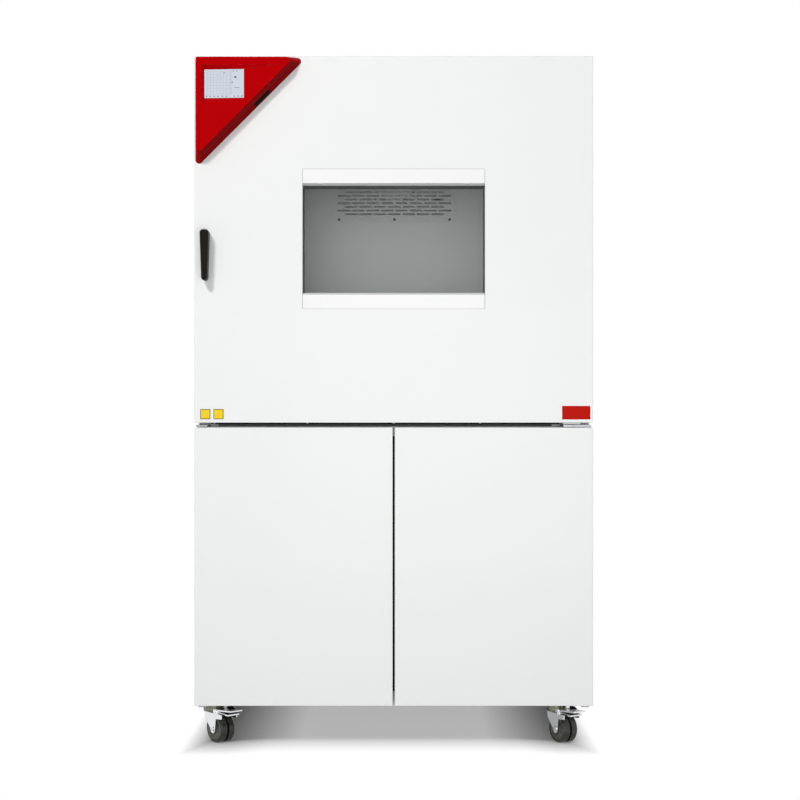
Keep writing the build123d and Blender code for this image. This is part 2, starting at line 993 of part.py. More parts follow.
def control_housing():
    """Drafted triangular housing with a sunken facet for the screen and a port pocket."""
    base = Plane.XZ.offset(-front) * housing_outline(0, 0)
    face = Plane.XZ.offset(housing_proud - front) * housing_outline(housing_draft, housing_long_draft)
    body = loft([base.face(), face.face()])
    pocket = side_box(
        port_length, flap_drop() + port_depth, port_depth,
        port_setback, port_setback + port_height + flap_swing_room,
    )
    return body - recess_tool() - pocket


def touch_screen():
    """Panel lying on the sunken facet."""
    left, top = recess_corner()
    face = front - housing_proud
    tilt = math.degrees(math.atan2(recess_depth, recess_width))
    panel = Box(
        screen_width, screen_thickness, screen_height,
        align=(Align.MIN, Align.MAX, Align.MAX),
    )
    place = Pos(left, face + recess_depth, top) * Rot(0, 0, -tilt)
    return place * Pos(screen_left, 0, -screen_top) * panel


def flap_drop():
    """How far the flap's face lies below the long side's edge at the door."""
    reach = port_setback + flap_swing_room + port_height
    return housing_long_draft * reach / housing_proud + 4 * fit_gap


def usb_flap():
    """Small cover over the port pocket, hinged along its back edge."""
    start = port_setback + flap_swing_room
    drop = flap_drop()
    return side_box(
        port_length - 2 * fit_gap, flap_thickness + drop, -drop, start, start + port_height - fit_gap
    )


def handle_post():
    """Round-nosed post on the door that carries the handle's pin."""
    x = handle_inset - half_width
    middle = handle_bottom + handle_height / 2
    low = middle - handle_post_height / 2
    high = middle + handle_post_height / 2
    y = front - handle_post_radius
    nose = post(x, y, low, high, handle_post_radius)
    stem = block(x - handle_post_radius, x + handle_post_radius, y, front, low, high)
    return nose + stem - post(x, y, low - sheet, high + sheet, handle_pin_radius + running_gap)


def door_handle():
    """Tapered grip that turns on a pin between its two cheeks."""
    x = handle_inset - half_width
    y = front - handle_post_radius
    middle = handle_bottom + handle_height / 2
    top = handle_bottom + handle_height
    near = y - handle_post_radius - fit_gap
    far = front - handle_proud
    bottom_half = handle_width_bottom / 2
    top_half = handle_width_top / 2
    outline = make_face(
        Polyline(
            (x - bottom_half, handle_bottom), (x + bottom_half, handle_bottom),
            (x + top_half, top), (x - top_half, top), close=True,
        )
    )
    outline = fillet(outline.vertices(), handle_width_bottom / 2 - sheet)
    grip = extrude(Plane.XZ.offset(-far) * outline, amount=far - near)
    grip = chamfer(grip.edges().group_by(Axis.Y)[0], handle_chamfer)
    cheek = handle_post_radius - fit_gap
    for side in (-1, 1):
        start = middle + side * (handle_post_height / 2 + fit_gap)
        end = middle + side * (handle_height / 2 - handle_width_bottom / 2)
        low, high = min(start, end), max(start, end)
        grip += block(x - cheek, x + cheek, near, y, low, high)
        grip += post(x, y, low, high, cheek)
    pin_low = middle - handle_post_height / 2 - 2 * fit_gap
    return grip + post(x, y, pin_low, 2 * middle - pin_low, handle_pin_radius)


# Service doors


def service_door(side):
    """Sheet metal pan with folded edges and two bored corner blocks."""
    outer_edge = side * half_width
    inner_edge = side * centre_gap / 2
    low_x, high_x = min(outer_edge, inner_edge), max(outer_edge, inner_edge)
    rear = front + service_door_thickness
    pan = block(low_x, high_x, front, rear, service_bottom, service_top)
    pan = fillet(pan.edges().group_by(Axis.Y)[0], edge_radius)
    space = block(
        low_x + sheet, high_x - sheet, front + sheet, rear - sheet,
        service_bottom + sheet, service_top - sheet,
    )
    mouth = block(
        low_x + pan_lip, high_x - pan_lip, front + sheet, rear + sheet,
        service_bottom + pan_lip, service_top - pan_lip,
    )
    pan = pan - space - mouth
    x = side * hinge_x
    reach = corner_block / 2
    for z0 in (service_bottom, service_top - reach):
        pan += block(
            max(x - reach, sheet / 2 - half_width), min(x + reach, half_width - sheet / 2),
            front + sheet / 2, front + corner_block, z0, z0 + reach,
        )
    bore = service_pin_radius + running_gap
    return pan - post(x, service_hinge_y, service_bottom - sheet, service_top + sheet, bore)


# Machine compartment


def compressor():
    """Hermetic compressor can with a mounting plate on four rubber feet."""
    foot = 2 * pipe_radius
    low = base_top + foot
    top = low + compressor_height
    radius = compressor_radius
    flat = radius - compressor_taper
    profile = [
        (0, low), (flat, low), (radius, low + compressor_taper), (radius, top - compressor_dome),
        (radius - compressor_dome, top), (0, top),
    ]
    can = revolve(Plane.XZ * make_face(Polyline(*profile, close=True)), Axis.Z)
    plate = block(-radius, radius, -radius, radius, low - channel_wall, low + channel_wall)
    feet = [
        block(x - foot, x + foot, y - foot, y + foot, base_top, low)
        for x in (-flat, flat) for y in (-flat, flat)
    ]
    return Pos(*compressor_centre(), 0) * (Part() + can + plate + feet)


def compressor_centre():
    return compressor_x, compressor_y - half_depth / 2


def condenser_back():
    return back - condenser_back_gap


def condenser():
    """Finned block on two feet at the louvred back."""
    half = condenser_width / 2
    low = base_top + condenser_rise
    rear = condenser_back()
    core = block(
        condenser_x - half, condenser_x + half, rear - condenser_depth, rear, low, low + condenser_height
    )
    slots = [
        block(
            condenser_x - half + 4 * sheet, condenser_x + half - 4 * sheet,
            rear - 4 * sheet, rear + sheet, z, z + louvre_height,
        )
        for z in (low + louvre_pitch * (i + 1 / 2) for i in range(int(condenser_height / louvre_pitch)))
    ]
    feet = [
        block(x - sheet, x + sheet, rear - condenser_depth, rear, base_top, low)
        for x in (condenser_x - half + sheet, condenser_x + half - sheet)
    ]
    return core - slots + feet


def condenser_fan_centre():
    return base_top + condenser_rise + condenser_height / 2


def condenser_shroud():
    """Box round the fan in front of the condenser, with the motor on a spider."""
    half = condenser_width / 2
    low = base_top + condenser_rise
    rear = condenser_back() - condenser_depth
    near = rear - shroud_depth
    z = condenser_fan_centre()
    box = block(condenser_x - half, condenser_x + half, near, rear, low, low + condenser_height)
    space = block(
        condenser_x - half + sheet, condenser_x + half - sheet, near + sheet, rear + sheet,
        low + sheet, low + condenser_height - sheet,
    )
    mouth_radius = condenser_fan_radius + condenser_tip_gap
    mouth = rod_along_y(condenser_x, near - sheet, near + 2 * sheet, z, mouth_radius)
    start = near - condenser_motor_length
    motor = rod_along_y(condenser_x, start, near - 2 * sheet, z, condenser_hub_radius)
    bore = rod_along_y(
        condenser_x, start + condenser_motor_length / 2, near, z, axle_radius + running_gap
    )
    bar = block(
        condenser_x - mouth_radius - base_height, condenser_x + mouth_radius + base_height,
        near - 3 * sheet, near - 2 * sheet, z - base_height / 2, z + base_height / 2,
    )
    ends = [
        block(x - base_height / 2, x + base_height / 2, near - 3 * sheet, near,
              z - base_height / 2, z + base_height / 2)
        for x in (condenser_x - mouth_radius - base_height / 2, condenser_x + mouth_radius + base_height / 2)
    ]
    return box - space - mouth + motor + bar + ends - bore


def condenser_fan():
    """Axial fan whose shaft runs in the motor."""
    near = condenser_back() - condenser_depth - shroud_depth
    z = condenser_fan_centre()
    depth = shroud_depth / 2
    hub = rod_along_y(condenser_x, near + 2 * sheet, near + depth, z, condenser_hub_radius)
    shaft = rod_along_y(
        condenser_x, near - condenser_motor_length / 2 + fit_gap, near + depth, z, axle_radius
    )
    wheel = hub + shaft
    length = condenser_fan_radius - condenser_hub_radius / 2
    tilt = Rot(condenser_blade_pitch, 0, 0)
    blade = Pos((condenser_hub_radius + length) / 2, 0, 0) * tilt * Box(length, 2 * sheet, shroud_depth)
    blade &= Cylinder(condenser_fan_radius, 4 * shroud_depth, rotation=(90, 0, 0))
    for i in range(condenser_fan_blades):
        turned = Rot(0, i * 360 / condenser_fan_blades, 0) * blade
        wheel += Pos(condenser_x, near + depth, z) * turned
    return wheel


def receiver_place():
    return receiver_x, receiver_y - half_depth / 2


def liquid_receiver():
    """Upright receiver with domed end on the floor sheet."""
    x, y = receiver_place()
    radius = receiver_radius
    profile = [
        (0, 0), (radius, 0), (radius, receiver_height - receiver_dome),
        (radius - receiver_dome, receiver_height), (0, receiver_height),
    ]
    can = revolve(Plane.XZ * make_face(Polyline(*profile, close=True)), Axis.Z)
    return Pos(x, y, base_top) * can


def riser_place():
    """Where the pipes pass up through the deck into the plenum."""
    return 0, liner_back - coil_depth - 4 * pipe_radius


def pipe(*points):
    """A tube whose bends are made of short straight steps."""
    route = FilletPolyline(*points, radius=pipe_bend)
    corners = [Vector(*points[0])]
    for edge in route.edges():
        steps = 1 if edge.geom_type == GeomType.LINE else bend_steps
        corners += [edge @ (i / steps) for i in range(1, steps + 1)]
    start = Plane(origin=corners[0], z_dir=corners[1] - corners[0])
    return sweep(start * Circle(pipe_radius), path=Polyline(*corners), transition=Transition.RIGHT)


def refrigerant_pipes():
    """Discharge line to the condenser, liquid line to the receiver, riser to the coil."""
    cx, cy = compressor_centre()
    can_top = base_top + 2 * pipe_radius + compressor_height
    rx, ry = receiver_place()
    receiver_top = base_top + receiver_height
    coil_right = condenser_x + condenser_width / 2
    mid_y = condenser_back() - condenser_depth / 2
    high = base_top + condenser_rise + condenser_height - 2 * pipe_bend
    low = receiver_top + 3 * pipe_bend
    discharge = pipe(
        (cx, cy, can_top), (cx, cy, high), (cx, mid_y, high), (coil_right, mid_y, high)
    )
    liquid = pipe(
        (rx, ry, receiver_top), (rx, ry, low), (rx, mid_y, low), (coil_right, mid_y, low)
    )
    ux, uy = riser_place()
    spot = receiver_radius / 2
    riser = pipe(
        (rx + spot, ry - spot / 2, receiver_top),
        (rx + spot, ry - spot / 2, low + 3 * pipe_bend),
        (ux, uy, low + 3 * pipe_bend), (ux, uy, floor_z + coil_rise),
    )
    return [discharge, liquid, riser]


def electrical_enclosure():
    """Cabinet for the controls on the right wall, with its lid."""
    right = half_width - sheet
    left = right - enclosure_width
    near = lower_front + enclosure_inset_y
    low = base_top + enclosure_rise
    body = block(left, right, near, near + enclosure_depth, low, low + enclosure_height)
    lid = block(
        left - 4 * sheet, left, near - sheet, near + enclosure_depth + sheet,
        low - sheet, low + enclosure_height + sheet,
    )
    return fillet(body.edges().filter_by(Axis.X), edge_radius) + lid


def main_switch_frame():
    """Square plate of the main switch on the right side panel, and its housing inside."""
    y, z = switch_place()
    half = switch_plate / 2
    plate = block(half_width, half_width + 2 * sheet, y - half, y + half, z - half, z + half)
    plate = fillet(plate.edges().filter_by(Axis.X), 2 * edge_radius)
    neck = rod_along_x(half_width - base_height, half_width, y, z, switch_radius - seat_gap)
    bore = rod_along_x(
        half_width - base_height / 2, half_width + 3 * sheet, y, z, axle_radius + running_gap
    )
    return plate + neck - bore


def main_switch():
    """Rotary knob with a raised grip bar."""
    y, z = switch_place()
    face = half_width + 2 * sheet + fit_gap
    proud = half_width + side_proud
    disc = rod_along_x(face, (face + proud) / 2, y, z, switch_radius)
    bar = block(
        face, proud, y - switch_radius / 4, y + switch_radius / 4,
        z - switch_radius + sheet, z + switch_radius - sheet,
    )
    shaft = rod_along_x(half_width - base_height / 2 + fit_gap, face, y, z, axle_radius)
    return disc + bar + shaft


def drain_spigot():
    """Condensate outlet that a hose pushes onto."""
    z = base_top + spigot_rise
    flange = rod_along_y(spigot_x, back, back + 2 * sheet, z, 2 * spigot_radius)
    tube = rod_along_y(spigot_x, back, back + rear_proud, z, spigot_radius)
    bore = rod_along_y(spigot_x, back - sheet, back + 2 * rear_proud, z, spigot_bore)
    return flange + tube - bore


def rear_inlets():
    """Cable gland and network socket on the lower back panel."""
    z = base_top + spigot_rise
    collar = rod_along_y(gland_x, back, back + gland_proud / 2, z, gland_radius)
    nose = Pos(gland_x, back + gland_proud / 2, z) * Rot(-90, 0, 0) * Cone(
        gland_radius, gland_radius / 2, gland_proud / 2,
        align=(Align.CENTER, Align.CENTER, Align.MIN),
    )
    socket = block(
        socket_x - gland_radius, socket_x + gland_radius, back, back + 2 * sheet,
        z - gland_radius, z + gland_radius,
    )
    hole = block(
        socket_x - gland_radius / 2, socket_x + gland_radius / 2, back + sheet, back + 3 * sheet,
        z - gland_radius / 2, z + gland_radius / 2,
    )
    return [collar + nose, socket - hole]


# Casters, each built round its swivel axis with the wheel trailing along its own x


def placed(piece, place):
    x, y, angle = place
    return Pos(x, y, 0) * Rot(0, 0, angle) * piece


def fork_crown():
    """Underside of the fork's crown."""
    return 2 * wheel_radius + fork_crown_gap


def wheel_width():
    return 2 * tyre_width + tyre_gap


def caster_mount(place):
    """Pad, top plate, upper race and kingpin."""
    plate_bottom = caster_height - plate_thickness
    half = plate_length / 2
    pad = block(-half, half, -plate_width / 2, plate_width / 2, plate_bottom, base_bottom)
    race_bottom = fork_crown() + fork_wall + lower_race_height + fit_gap
    race = post(0, 0, race_bottom, plate_bottom, race_radius)
    pin = post(0, 0, fork_crown() - kingpin_head, plate_bottom, kingpin_radius)
    head = post(
        0, 0, fork_crown() - fit_gap - kingpin_head, fork_crown() - fit_gap, kingpin_head_radius
    )
    x, y, _ = place
    return Pos(x, y, 0) * pad + placed(Part() + race + pin + head, place)


def fork_leg(inside, outside):
    """Side cheek of the fork: a lip along the crown and a leg with a round end at the axle."""
    top = fork_crown() + fork_wall
    edge = fork_crown() - fork_lip
    tip = fork_tip_radius
    outline = make_face(
        Polyline(
            (-fork_back, top), (fork_front, top), (fork_front, edge),
            (trail + tip + fork_back, edge - fork_wall), (trail + tip, wheel_radius),
            (trail - tip, wheel_radius), (-fork_back, edge - fork_wall), close=True,
        )
    )
    outline += Pos(trail, wheel_radius) * Circle(tip)
    return extrude(Plane.XZ.offset(-inside) * outline, amount=inside - outside)


def caster_fork(place, braked):
    """Pressed fork: crown, lower race, two cheeks, the axle and the pedal's pin."""
    inside = wheel_width() / 2 + fork_side_gap
    outside = inside + fork_wall
    low = fork_crown()
    top = low + fork_wall
    x, z = pedal_pivot()
    crown = post(0, 0, low, top, race_radius)
    crown += block(-fork_back, x + 2 * pedal_pin_radius, -outside, outside, low, top)
    fork = crown + post(0, 0, top, top + lower_race_height, race_radius)
    fork += fork_leg(inside, outside) + fork_leg(-outside, -inside)
    fork += rod_along_y(trail, -outside - fork_wall, outside + fork_wall, wheel_radius, axle_radius)
    if braked:
        reach = pedal_width / 2 + fit_gap
        for start, end in ((-reach - fork_wall, -reach), (reach, reach + fork_wall)):
            fork += block(
                x - 2 * pedal_pin_radius, x + 2 * pedal_pin_radius, start, end, low, z + 2 * pedal_pin_radius
            )
        fork += rod_along_y(x, -reach, reach, z, pedal_pin_radius)
    hole = post(0, 0, low - fork_wall, top + 2 * lower_race_height, kingpin_radius + running_gap)
    return placed(fork - hole, place)


def pedal_pivot():
    """Pivot of the brake pedal in the caster's own x and z."""
    return race_radius + 3 * pedal_pin_radius, fork_crown() + fork_wall + 2 * pedal_pin_radius


def caster_wheel(place):
    """Twin tyres on one core with sunken hubs, bored for the axle."""
    half = wheel_width() / 2
    gap = tyre_gap / 2
    hub = half - hub_recess
    one_side = [
        (hub, axle_radius + running_gap), (hub, rim_radius), (half, rim_radius),
        (half, wheel_radius - tyre_chamfer), (half - tyre_chamfer, wheel_radius), (gap, wheel_radius),
        (gap, wheel_core_radius),
    ]
    other = [(-y, radius) for y, radius in reversed(one_side)]
    outline = make_face(Polyline(*one_side, *other, close=True))
    wheel = revolve(outline, Axis.X)
    turned = Pos(trail, 0, wheel_radius) * Rot(0, 0, 90) * wheel
    return placed(turned, place)


def brake_pedal(place):
    """Foot pedal that rocks on the fork's pin, with the shorter release lever under it."""
    x, z = pedal_pivot()
    half = pedal_width / 2
    thick = pedal_thickness
    boss = thick / 2 + pedal_pin_radius
    end = x + pedal_length
    top = z + pedal_rise + thick
    step = x + thick + lever_drop
    tip = x + lever_reach
    side = [
        (x - thick, z + boss), (x + thick, z + boss), (end, top), (end, top - thick),
        (step, z + boss - thick), (step, z), (tip, z + pedal_rise - lever_drop),
        (tip, z + pedal_rise - lever_drop - thick), (step, z - thick), (x + thick, z - thick),
        (x - thick, z - thick),
    ]
    plate = prism_along_y(side, -half, half)
    bore = rod_along_y(x, -pedal_width, pedal_width, z, pedal_pin_radius + running_gap)
    return placed(plate - bore, place)


def build():
    os.makedirs("parts", exist_ok=True)
    write("base_frame", *base_frame())
    write("lower_side_panels", *lower_side_panels())
    write("compartment_deck", compartment_deck())
    write("back_panels", *back_panels())
    write("upper_jacket", upper_jacket())
    write("insulation", insulation())
    write("chamber_liner", chamber_liner())
    write("rear_duct_wall", rear_duct_wall())
    write("slotted_air_baffle", slotted_air_baffle())
    write("baffle_screws", *baffle_screws())
    write("fan_ring", fan_ring())
    write("circulation_fan", circulation_fan())
    write("fan_motor", fan_motor())
    write("evaporator", evaporator())
    write("heater", heater())
    write("temperature_sensor", temperature_sensor())
    write("shelf_rails", *shelf_rails())
    write("shelf", shelf())
    write("access_port", access_port())
    write("port_plug", port_plug())
    write("hinge_brackets", *hinge_brackets())
    write("service_door_catches", *service_door_catches())
    write("door_outer_shell", door_outer_shell())
    write("door_inner_panel", door_inner_panel())
    write("door_insulation", door_insulation())
    write("hinge_bushes", *hinge_bushes())
    write("window_frame", window_frame())
    write("window_panes", *window_panes())
    write("window_strips", *window_strips())
    write("window_screws", *window_screws())
    write("door_gasket", door_gasket())
    write("control_housing", control_housing())
    write("touch_screen", touch_screen())
    write("usb_flap", usb_flap())
    write("handle_post", handle_post())
    write("door_handle", door_handle())
    write("left_service_door", service_door(-1))
    write("right_service_door", service_door(1))
    write("compressor", compressor())
    write("condenser", condenser())
    write("condenser_shroud", condenser_shroud())
    write("condenser_fan", condenser_fan())
    write("liquid_receiver", liquid_receiver())
    write("refrigerant_pipes", *refrigerant_pipes())
    write("electrical_enclosure", electrical_enclosure())
    write("main_switch_frame", main_switch_frame())
    write("main_switch", main_switch())
    write("drain_spigot", drain_spigot())
    write("rear_inlets", *rear_inlets())
    places = caster_places()
    write("caster_mounts", *[caster_mount(place) for place in places])
    names = ("front_left", "front_right", "rear_left", "rear_right")
    for name, place in zip(names, places):
        braked = name.startswith("front")
        write(f"{name}_fork", caster_fork(place, braked))
        write(f"{name}_wheel", caster_wheel(place))
        if braked:
            write(f"{name}_pedal", brake_pedal(place))


build()
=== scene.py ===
import json
import math

import bmesh
import bpy
from mathutils import Matrix, Vector


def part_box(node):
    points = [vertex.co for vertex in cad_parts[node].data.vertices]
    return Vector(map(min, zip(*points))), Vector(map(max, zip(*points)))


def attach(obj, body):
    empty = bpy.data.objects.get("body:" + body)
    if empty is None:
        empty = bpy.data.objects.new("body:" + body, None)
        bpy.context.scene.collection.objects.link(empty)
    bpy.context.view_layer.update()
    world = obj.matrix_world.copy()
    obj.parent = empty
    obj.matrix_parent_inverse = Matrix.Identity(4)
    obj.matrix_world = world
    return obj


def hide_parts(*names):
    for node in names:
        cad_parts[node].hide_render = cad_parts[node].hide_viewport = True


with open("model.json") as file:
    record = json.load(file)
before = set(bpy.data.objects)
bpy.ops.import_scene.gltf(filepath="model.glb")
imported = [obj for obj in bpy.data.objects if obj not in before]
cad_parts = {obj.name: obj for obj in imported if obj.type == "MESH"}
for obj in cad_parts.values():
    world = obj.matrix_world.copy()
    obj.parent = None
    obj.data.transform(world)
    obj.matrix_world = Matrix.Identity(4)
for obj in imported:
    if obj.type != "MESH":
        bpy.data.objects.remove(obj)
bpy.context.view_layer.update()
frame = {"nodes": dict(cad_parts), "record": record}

# Environmental test chamber: finishes, small fasteners and the screen's picture.
# Metres, front towards -Y, +Z up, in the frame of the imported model.

nodes = frame["nodes"]

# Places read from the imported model
door_low, door_high = (Vector(c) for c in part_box("door_outer_shell"))
jacket_low, jacket_high = (Vector(c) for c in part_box("upper_jacket"))
strip_low, strip_high = (Vector(c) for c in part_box("window_strips"))
housing_low, housing_high = (Vector(c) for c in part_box("control_housing"))
joints = {row["name"]: row for row in frame["record"]["behaviour"]["joints"]}
door_front = door_low.y
half_width = door_high.x

# Camera, worked out from the proportions of the front
camera_distance = 4.5
camera_height = 0.983
camera_side = 0.0176
camera_lens = 72.4


# Shader node groups


def value_group(name, inputs, outputs):
    """A node group with float inputs and the named outputs."""
    tree = bpy.data.node_groups.new(name, "ShaderNodeTree")
    for label, default in inputs:
        socket = tree.interface.new_socket(label, in_out="INPUT", socket_type="NodeSocketFloat")
        socket.default_value = default
    for label in outputs:
        tree.interface.new_socket(label, in_out="OUTPUT", socket_type="NodeSocketFloat")
    return tree, tree.nodes.new("NodeGroupInput"), tree.nodes.new("NodeGroupOutput")


def add_noise(tree, vector, scale_socket, detail):
    """Noise whose scale comes from a socket."""
    noise = tree.nodes.new("ShaderNodeTexNoise")
    noise.inputs["Detail"].default_value = detail
    tree.links.new(vector, noise.inputs["Vector"])
    tree.links.new(scale_socket, noise.inputs["Scale"])
    return noise.outputs["Fac"]


def add_math(tree, operation, first, second):
    """One math node on two sockets or numbers."""
    node = tree.nodes.new("ShaderNodeMath")
    node.operation = operation
    for socket, value in zip(node.inputs, (first, second)):
        if isinstance(value, (int, float)):
            socket.default_value = value
        else:
            tree.links.new(value, socket)
    return node.outputs[0]


def add_range(tree, value, low, high, to_low, to_high):
    """Map a value from one range to another, clamped."""
    node = tree.nodes.new("ShaderNodeMapRange")
    settings = (value, low, high, to_low, to_high)
    for socket, setting in zip(node.inputs[:5], settings):
        if isinstance(setting, (int, float)):
            socket.default_value = setting
        else:
            tree.links.new(setting, socket)
    return node.outputs[0]


def grain_group():
    """Fine even grain, with slow patches in tone and gloss."""
    inputs = [
        ("Scale", 900), ("Patch Scale", 3), ("Shade Spread", 0.02), ("Roughness", 0.4),
        ("Roughness Spread", 0.05),
    ]
    tree, given, result = value_group("surface_grain", inputs, ["Shade", "Roughness", "Height"])
    place = tree.nodes.new("ShaderNodeTexCoord").outputs["Object"]
    fine = add_noise(tree, place, given.outputs["Scale"], 2)
    patch = add_noise(tree, place, given.outputs["Patch Scale"], 4)
    spread = add_math(tree, "MULTIPLY", add_math(tree, "SUBTRACT", patch, 0.5), given.outputs["Shade Spread"])
    shade = add_math(tree, "ADD", 1, add_math(tree, "MULTIPLY", spread, 2))
    blend = add_math(tree, "SUBTRACT", add_math(tree, "ADD", patch, fine), 1)
    gloss = add_math(tree, "MULTIPLY", blend, given.outputs["Roughness Spread"])
    tree.links.new(shade, result.inputs["Shade"])
    tree.links.new(add_math(tree, "ADD", given.outputs["Roughness"], gloss), result.inputs["Roughness"])
    tree.links.new(fine, result.inputs["Height"])
    return tree


def edge_group():
    """Mask of the strip along sharp outer edges, broken up by noise, where a lighter colour is laid: partly
    wear, partly a painted highlight.
    """
    tree, given, result = value_group("edge_wear_and_highlight", [("Radius", 0.0015), ("Strength", 1)], ["Mask"])
    bevel = tree.nodes.new("ShaderNodeBevel")
    bevel.samples = 4
    tree.links.new(given.outputs["Radius"], bevel.inputs["Radius"])
    surface = tree.nodes.new("ShaderNodeNewGeometry")
    dot = tree.nodes.new("ShaderNodeVectorMath")
    dot.operation = "DOT_PRODUCT"
    tree.links.new(bevel.outputs["Normal"], dot.inputs[0])
    tree.links.new(surface.outputs["Normal"], dot.inputs[1])
    edge = add_range(tree, dot.outputs["Value"], 0.998, 0.86, 0, 1)
    place = tree.nodes.new("ShaderNodeTexCoord").outputs["Object"]
    scale = tree.nodes.new("ShaderNodeValue")
    scale.outputs[0].default_value = 60
    broken = add_range(tree, add_noise(tree, place, scale.outputs[0], 4), 0.4, 0.62, 0, 1)
    mask = add_math(tree, "MULTIPLY", add_math(tree, "MULTIPLY", edge, broken), given.outputs["Strength"])
    tree.links.new(mask, result.inputs["Mask"])
    return tree


def brushed_group():
    """Fine straight lines along one direction, set by how much each axis is stretched."""
    inputs = [
        ("Stretch X", 1), ("Stretch Y", 1), ("Stretch Z", 1), ("Roughness", 0.3), ("Roughness Spread", 0.15),
        ("Shade Spread", 0.1),
    ]
    tree, given, result = value_group("brushed_lines", inputs, ["Shade", "Roughness", "Height"])
    place = tree.nodes.new("ShaderNodeTexCoord").outputs["Object"]
    stretch = tree.nodes.new("ShaderNodeCombineXYZ")
    for axis in "XYZ":
        tree.links.new(given.outputs[f"Stretch {axis}"], stretch.inputs[axis])
    scaled = tree.nodes.new("ShaderNodeVectorMath")
    scaled.operation = "MULTIPLY"
    tree.links.new(place, scaled.inputs[0])
    tree.links.new(stretch.outputs[0], scaled.inputs[1])
    noise = tree.nodes.new("ShaderNodeTexNoise")
    noise.inputs["Scale"].default_value = 1
    noise.inputs["Detail"].default_value = 3
    tree.links.new(scaled.outputs[0], noise.inputs["Vector"])
    line = add_math(tree, "SUBTRACT", noise.outputs["Fac"], 0.5)
    shade = add_math(tree, "ADD", 1, add_math(tree, "MULTIPLY", line, given.outputs["Shade Spread"]))
    gloss = add_math(tree, "MULTIPLY", line, given.outputs["Roughness Spread"])
    tree.links.new(shade, result.inputs["Shade"])
    tree.links.new(add_math(tree, "ADD", given.outputs["Roughness"], gloss), result.inputs["Roughness"])
    tree.links.new(noise.outputs["Fac"], result.inputs["Height"])
    return tree


def dust_group():
    """Mask of thin dust on surfaces that face up."""
    tree, given, result = value_group("settled_dust", [("Amount", 0.3)], ["Mask"])
    surface = tree.nodes.new("ShaderNodeNewGeometry")
    split = tree.nodes.new("ShaderNodeSeparateXYZ")
    tree.links.new(surface.outputs["Normal"], split.inputs[0])
    up = add_range(tree, split.outputs["Z"], 0.6, 1, 0, 1)
    place = tree.nodes.new("ShaderNodeTexCoord").outputs["Object"]
    scale = tree.nodes.new("ShaderNodeValue")
    scale.outputs[0].default_value = 14
    cloud = add_range(tree, add_noise(tree, place, scale.outputs[0], 6), 0.35, 0.75, 0.2, 1)
    mask = add_math(tree, "MULTIPLY", add_math(tree, "MULTIPLY", up, cloud), given.outputs["Amount"])
    tree.links.new(mask, result.inputs["Mask"])
    return tree


grain = grain_group()
edge_wear_and_highlight = edge_group()
brushed = brushed_group()
dust = dust_group()
dust_tone = (0.42, 0.40, 0.37)


# Materials


def start_material(name):
    """A new material, its node tree and its main shader."""
    material = bpy.data.materials.new(name)
    material.use_nodes = True
    tree = material.node_tree
    return material, tree, tree.nodes["Principled BSDF"]


def place_group(tree, group, **values):
    """Add a group node and set its inputs, named with underscores for spaces."""
    node = tree.nodes.new("ShaderNodeGroup")
    node.node_tree = group
    for label, value in values.items():
        node.inputs[label.replace("_", " ")].default_value = value
    return node


def shaded_colour(tree, colour, shade):
    """A colour multiplied by a shade value."""
    node = tree.nodes.new("ShaderNodeVectorMath")
    node.operation = "SCALE"
    node.inputs[0].default_value = colour
    tree.links.new(shade, node.inputs["Scale"])
    return node.outputs[0]


def mixed_colour(tree, mask, under, over):
    """The colour under, turned to the colour over where the mask is 1."""
    node = tree.nodes.new("ShaderNodeMix")
    node.data_type = "RGBA"
    tree.links.new(mask, node.inputs["Factor"])
    colours = [socket for socket in node.inputs if socket.type == "RGBA"]
    tree.links.new(under, colours[0])
    colours[1].default_value = (*over, 1)
    return next(socket for socket in node.outputs if socket.type == "RGBA")


def add_bump(tree, shader, height, distance):
    """Fine relief from a height value."""
    bump = tree.nodes.new("ShaderNodeBump")
    bump.inputs["Strength"].default_value = 1
    bump.inputs["Distance"].default_value = distance
    tree.links.new(height, bump.inputs["Height"])
    tree.links.new(bump.outputs["Normal"], shader.inputs["Normal"])


def grained_material(name, colour, roughness, scale=900, depth=0.00001, shade=0.02, spread=0.06,
                     edge_wear_highlight_colour=None, edge_wear_highlight_amount=0.5, dusty=0.0, metallic=0.0, coat=0.0, patch=3,
                     specular=0.3, ior=1.5):
    """Paint, plastic or rubber: grain, lighter edges (partly wear, partly a painted highlight) and dust over
    one colour.
    """
    material, tree, shader = start_material(name)
    texture = place_group(
        tree, grain, Scale=scale, Patch_Scale=patch, Shade_Spread=shade, Roughness=roughness,
        Roughness_Spread=spread,
    )
    result = shaded_colour(tree, colour, texture.outputs["Shade"])
    if edge_wear_highlight_colour:
        worn_highlit_edges = place_group(tree, edge_wear_and_highlight, Strength=edge_wear_highlight_amount)
        result = mixed_colour(tree, worn_highlit_edges.outputs["Mask"], result, edge_wear_highlight_colour)
    if dusty:
        settled = place_group(tree, dust, Amount=dusty)
        result = mixed_colour(tree, settled.outputs["Mask"], result, dust_tone)
    tree.links.new(result, shader.inputs["Base Color"])
    tree.links.new(texture.outputs["Roughness"], shader.inputs["Roughness"])
    shader.inputs["Metallic"].default_value = metallic
    shader.inputs["Coat Weight"].default_value = coat
    shader.inputs["Specular IOR Level"].default_value = specular
    shader.inputs["IOR"].default_value = ior
    add_bump(tree, shader, texture.outputs["Height"], depth)
    return material


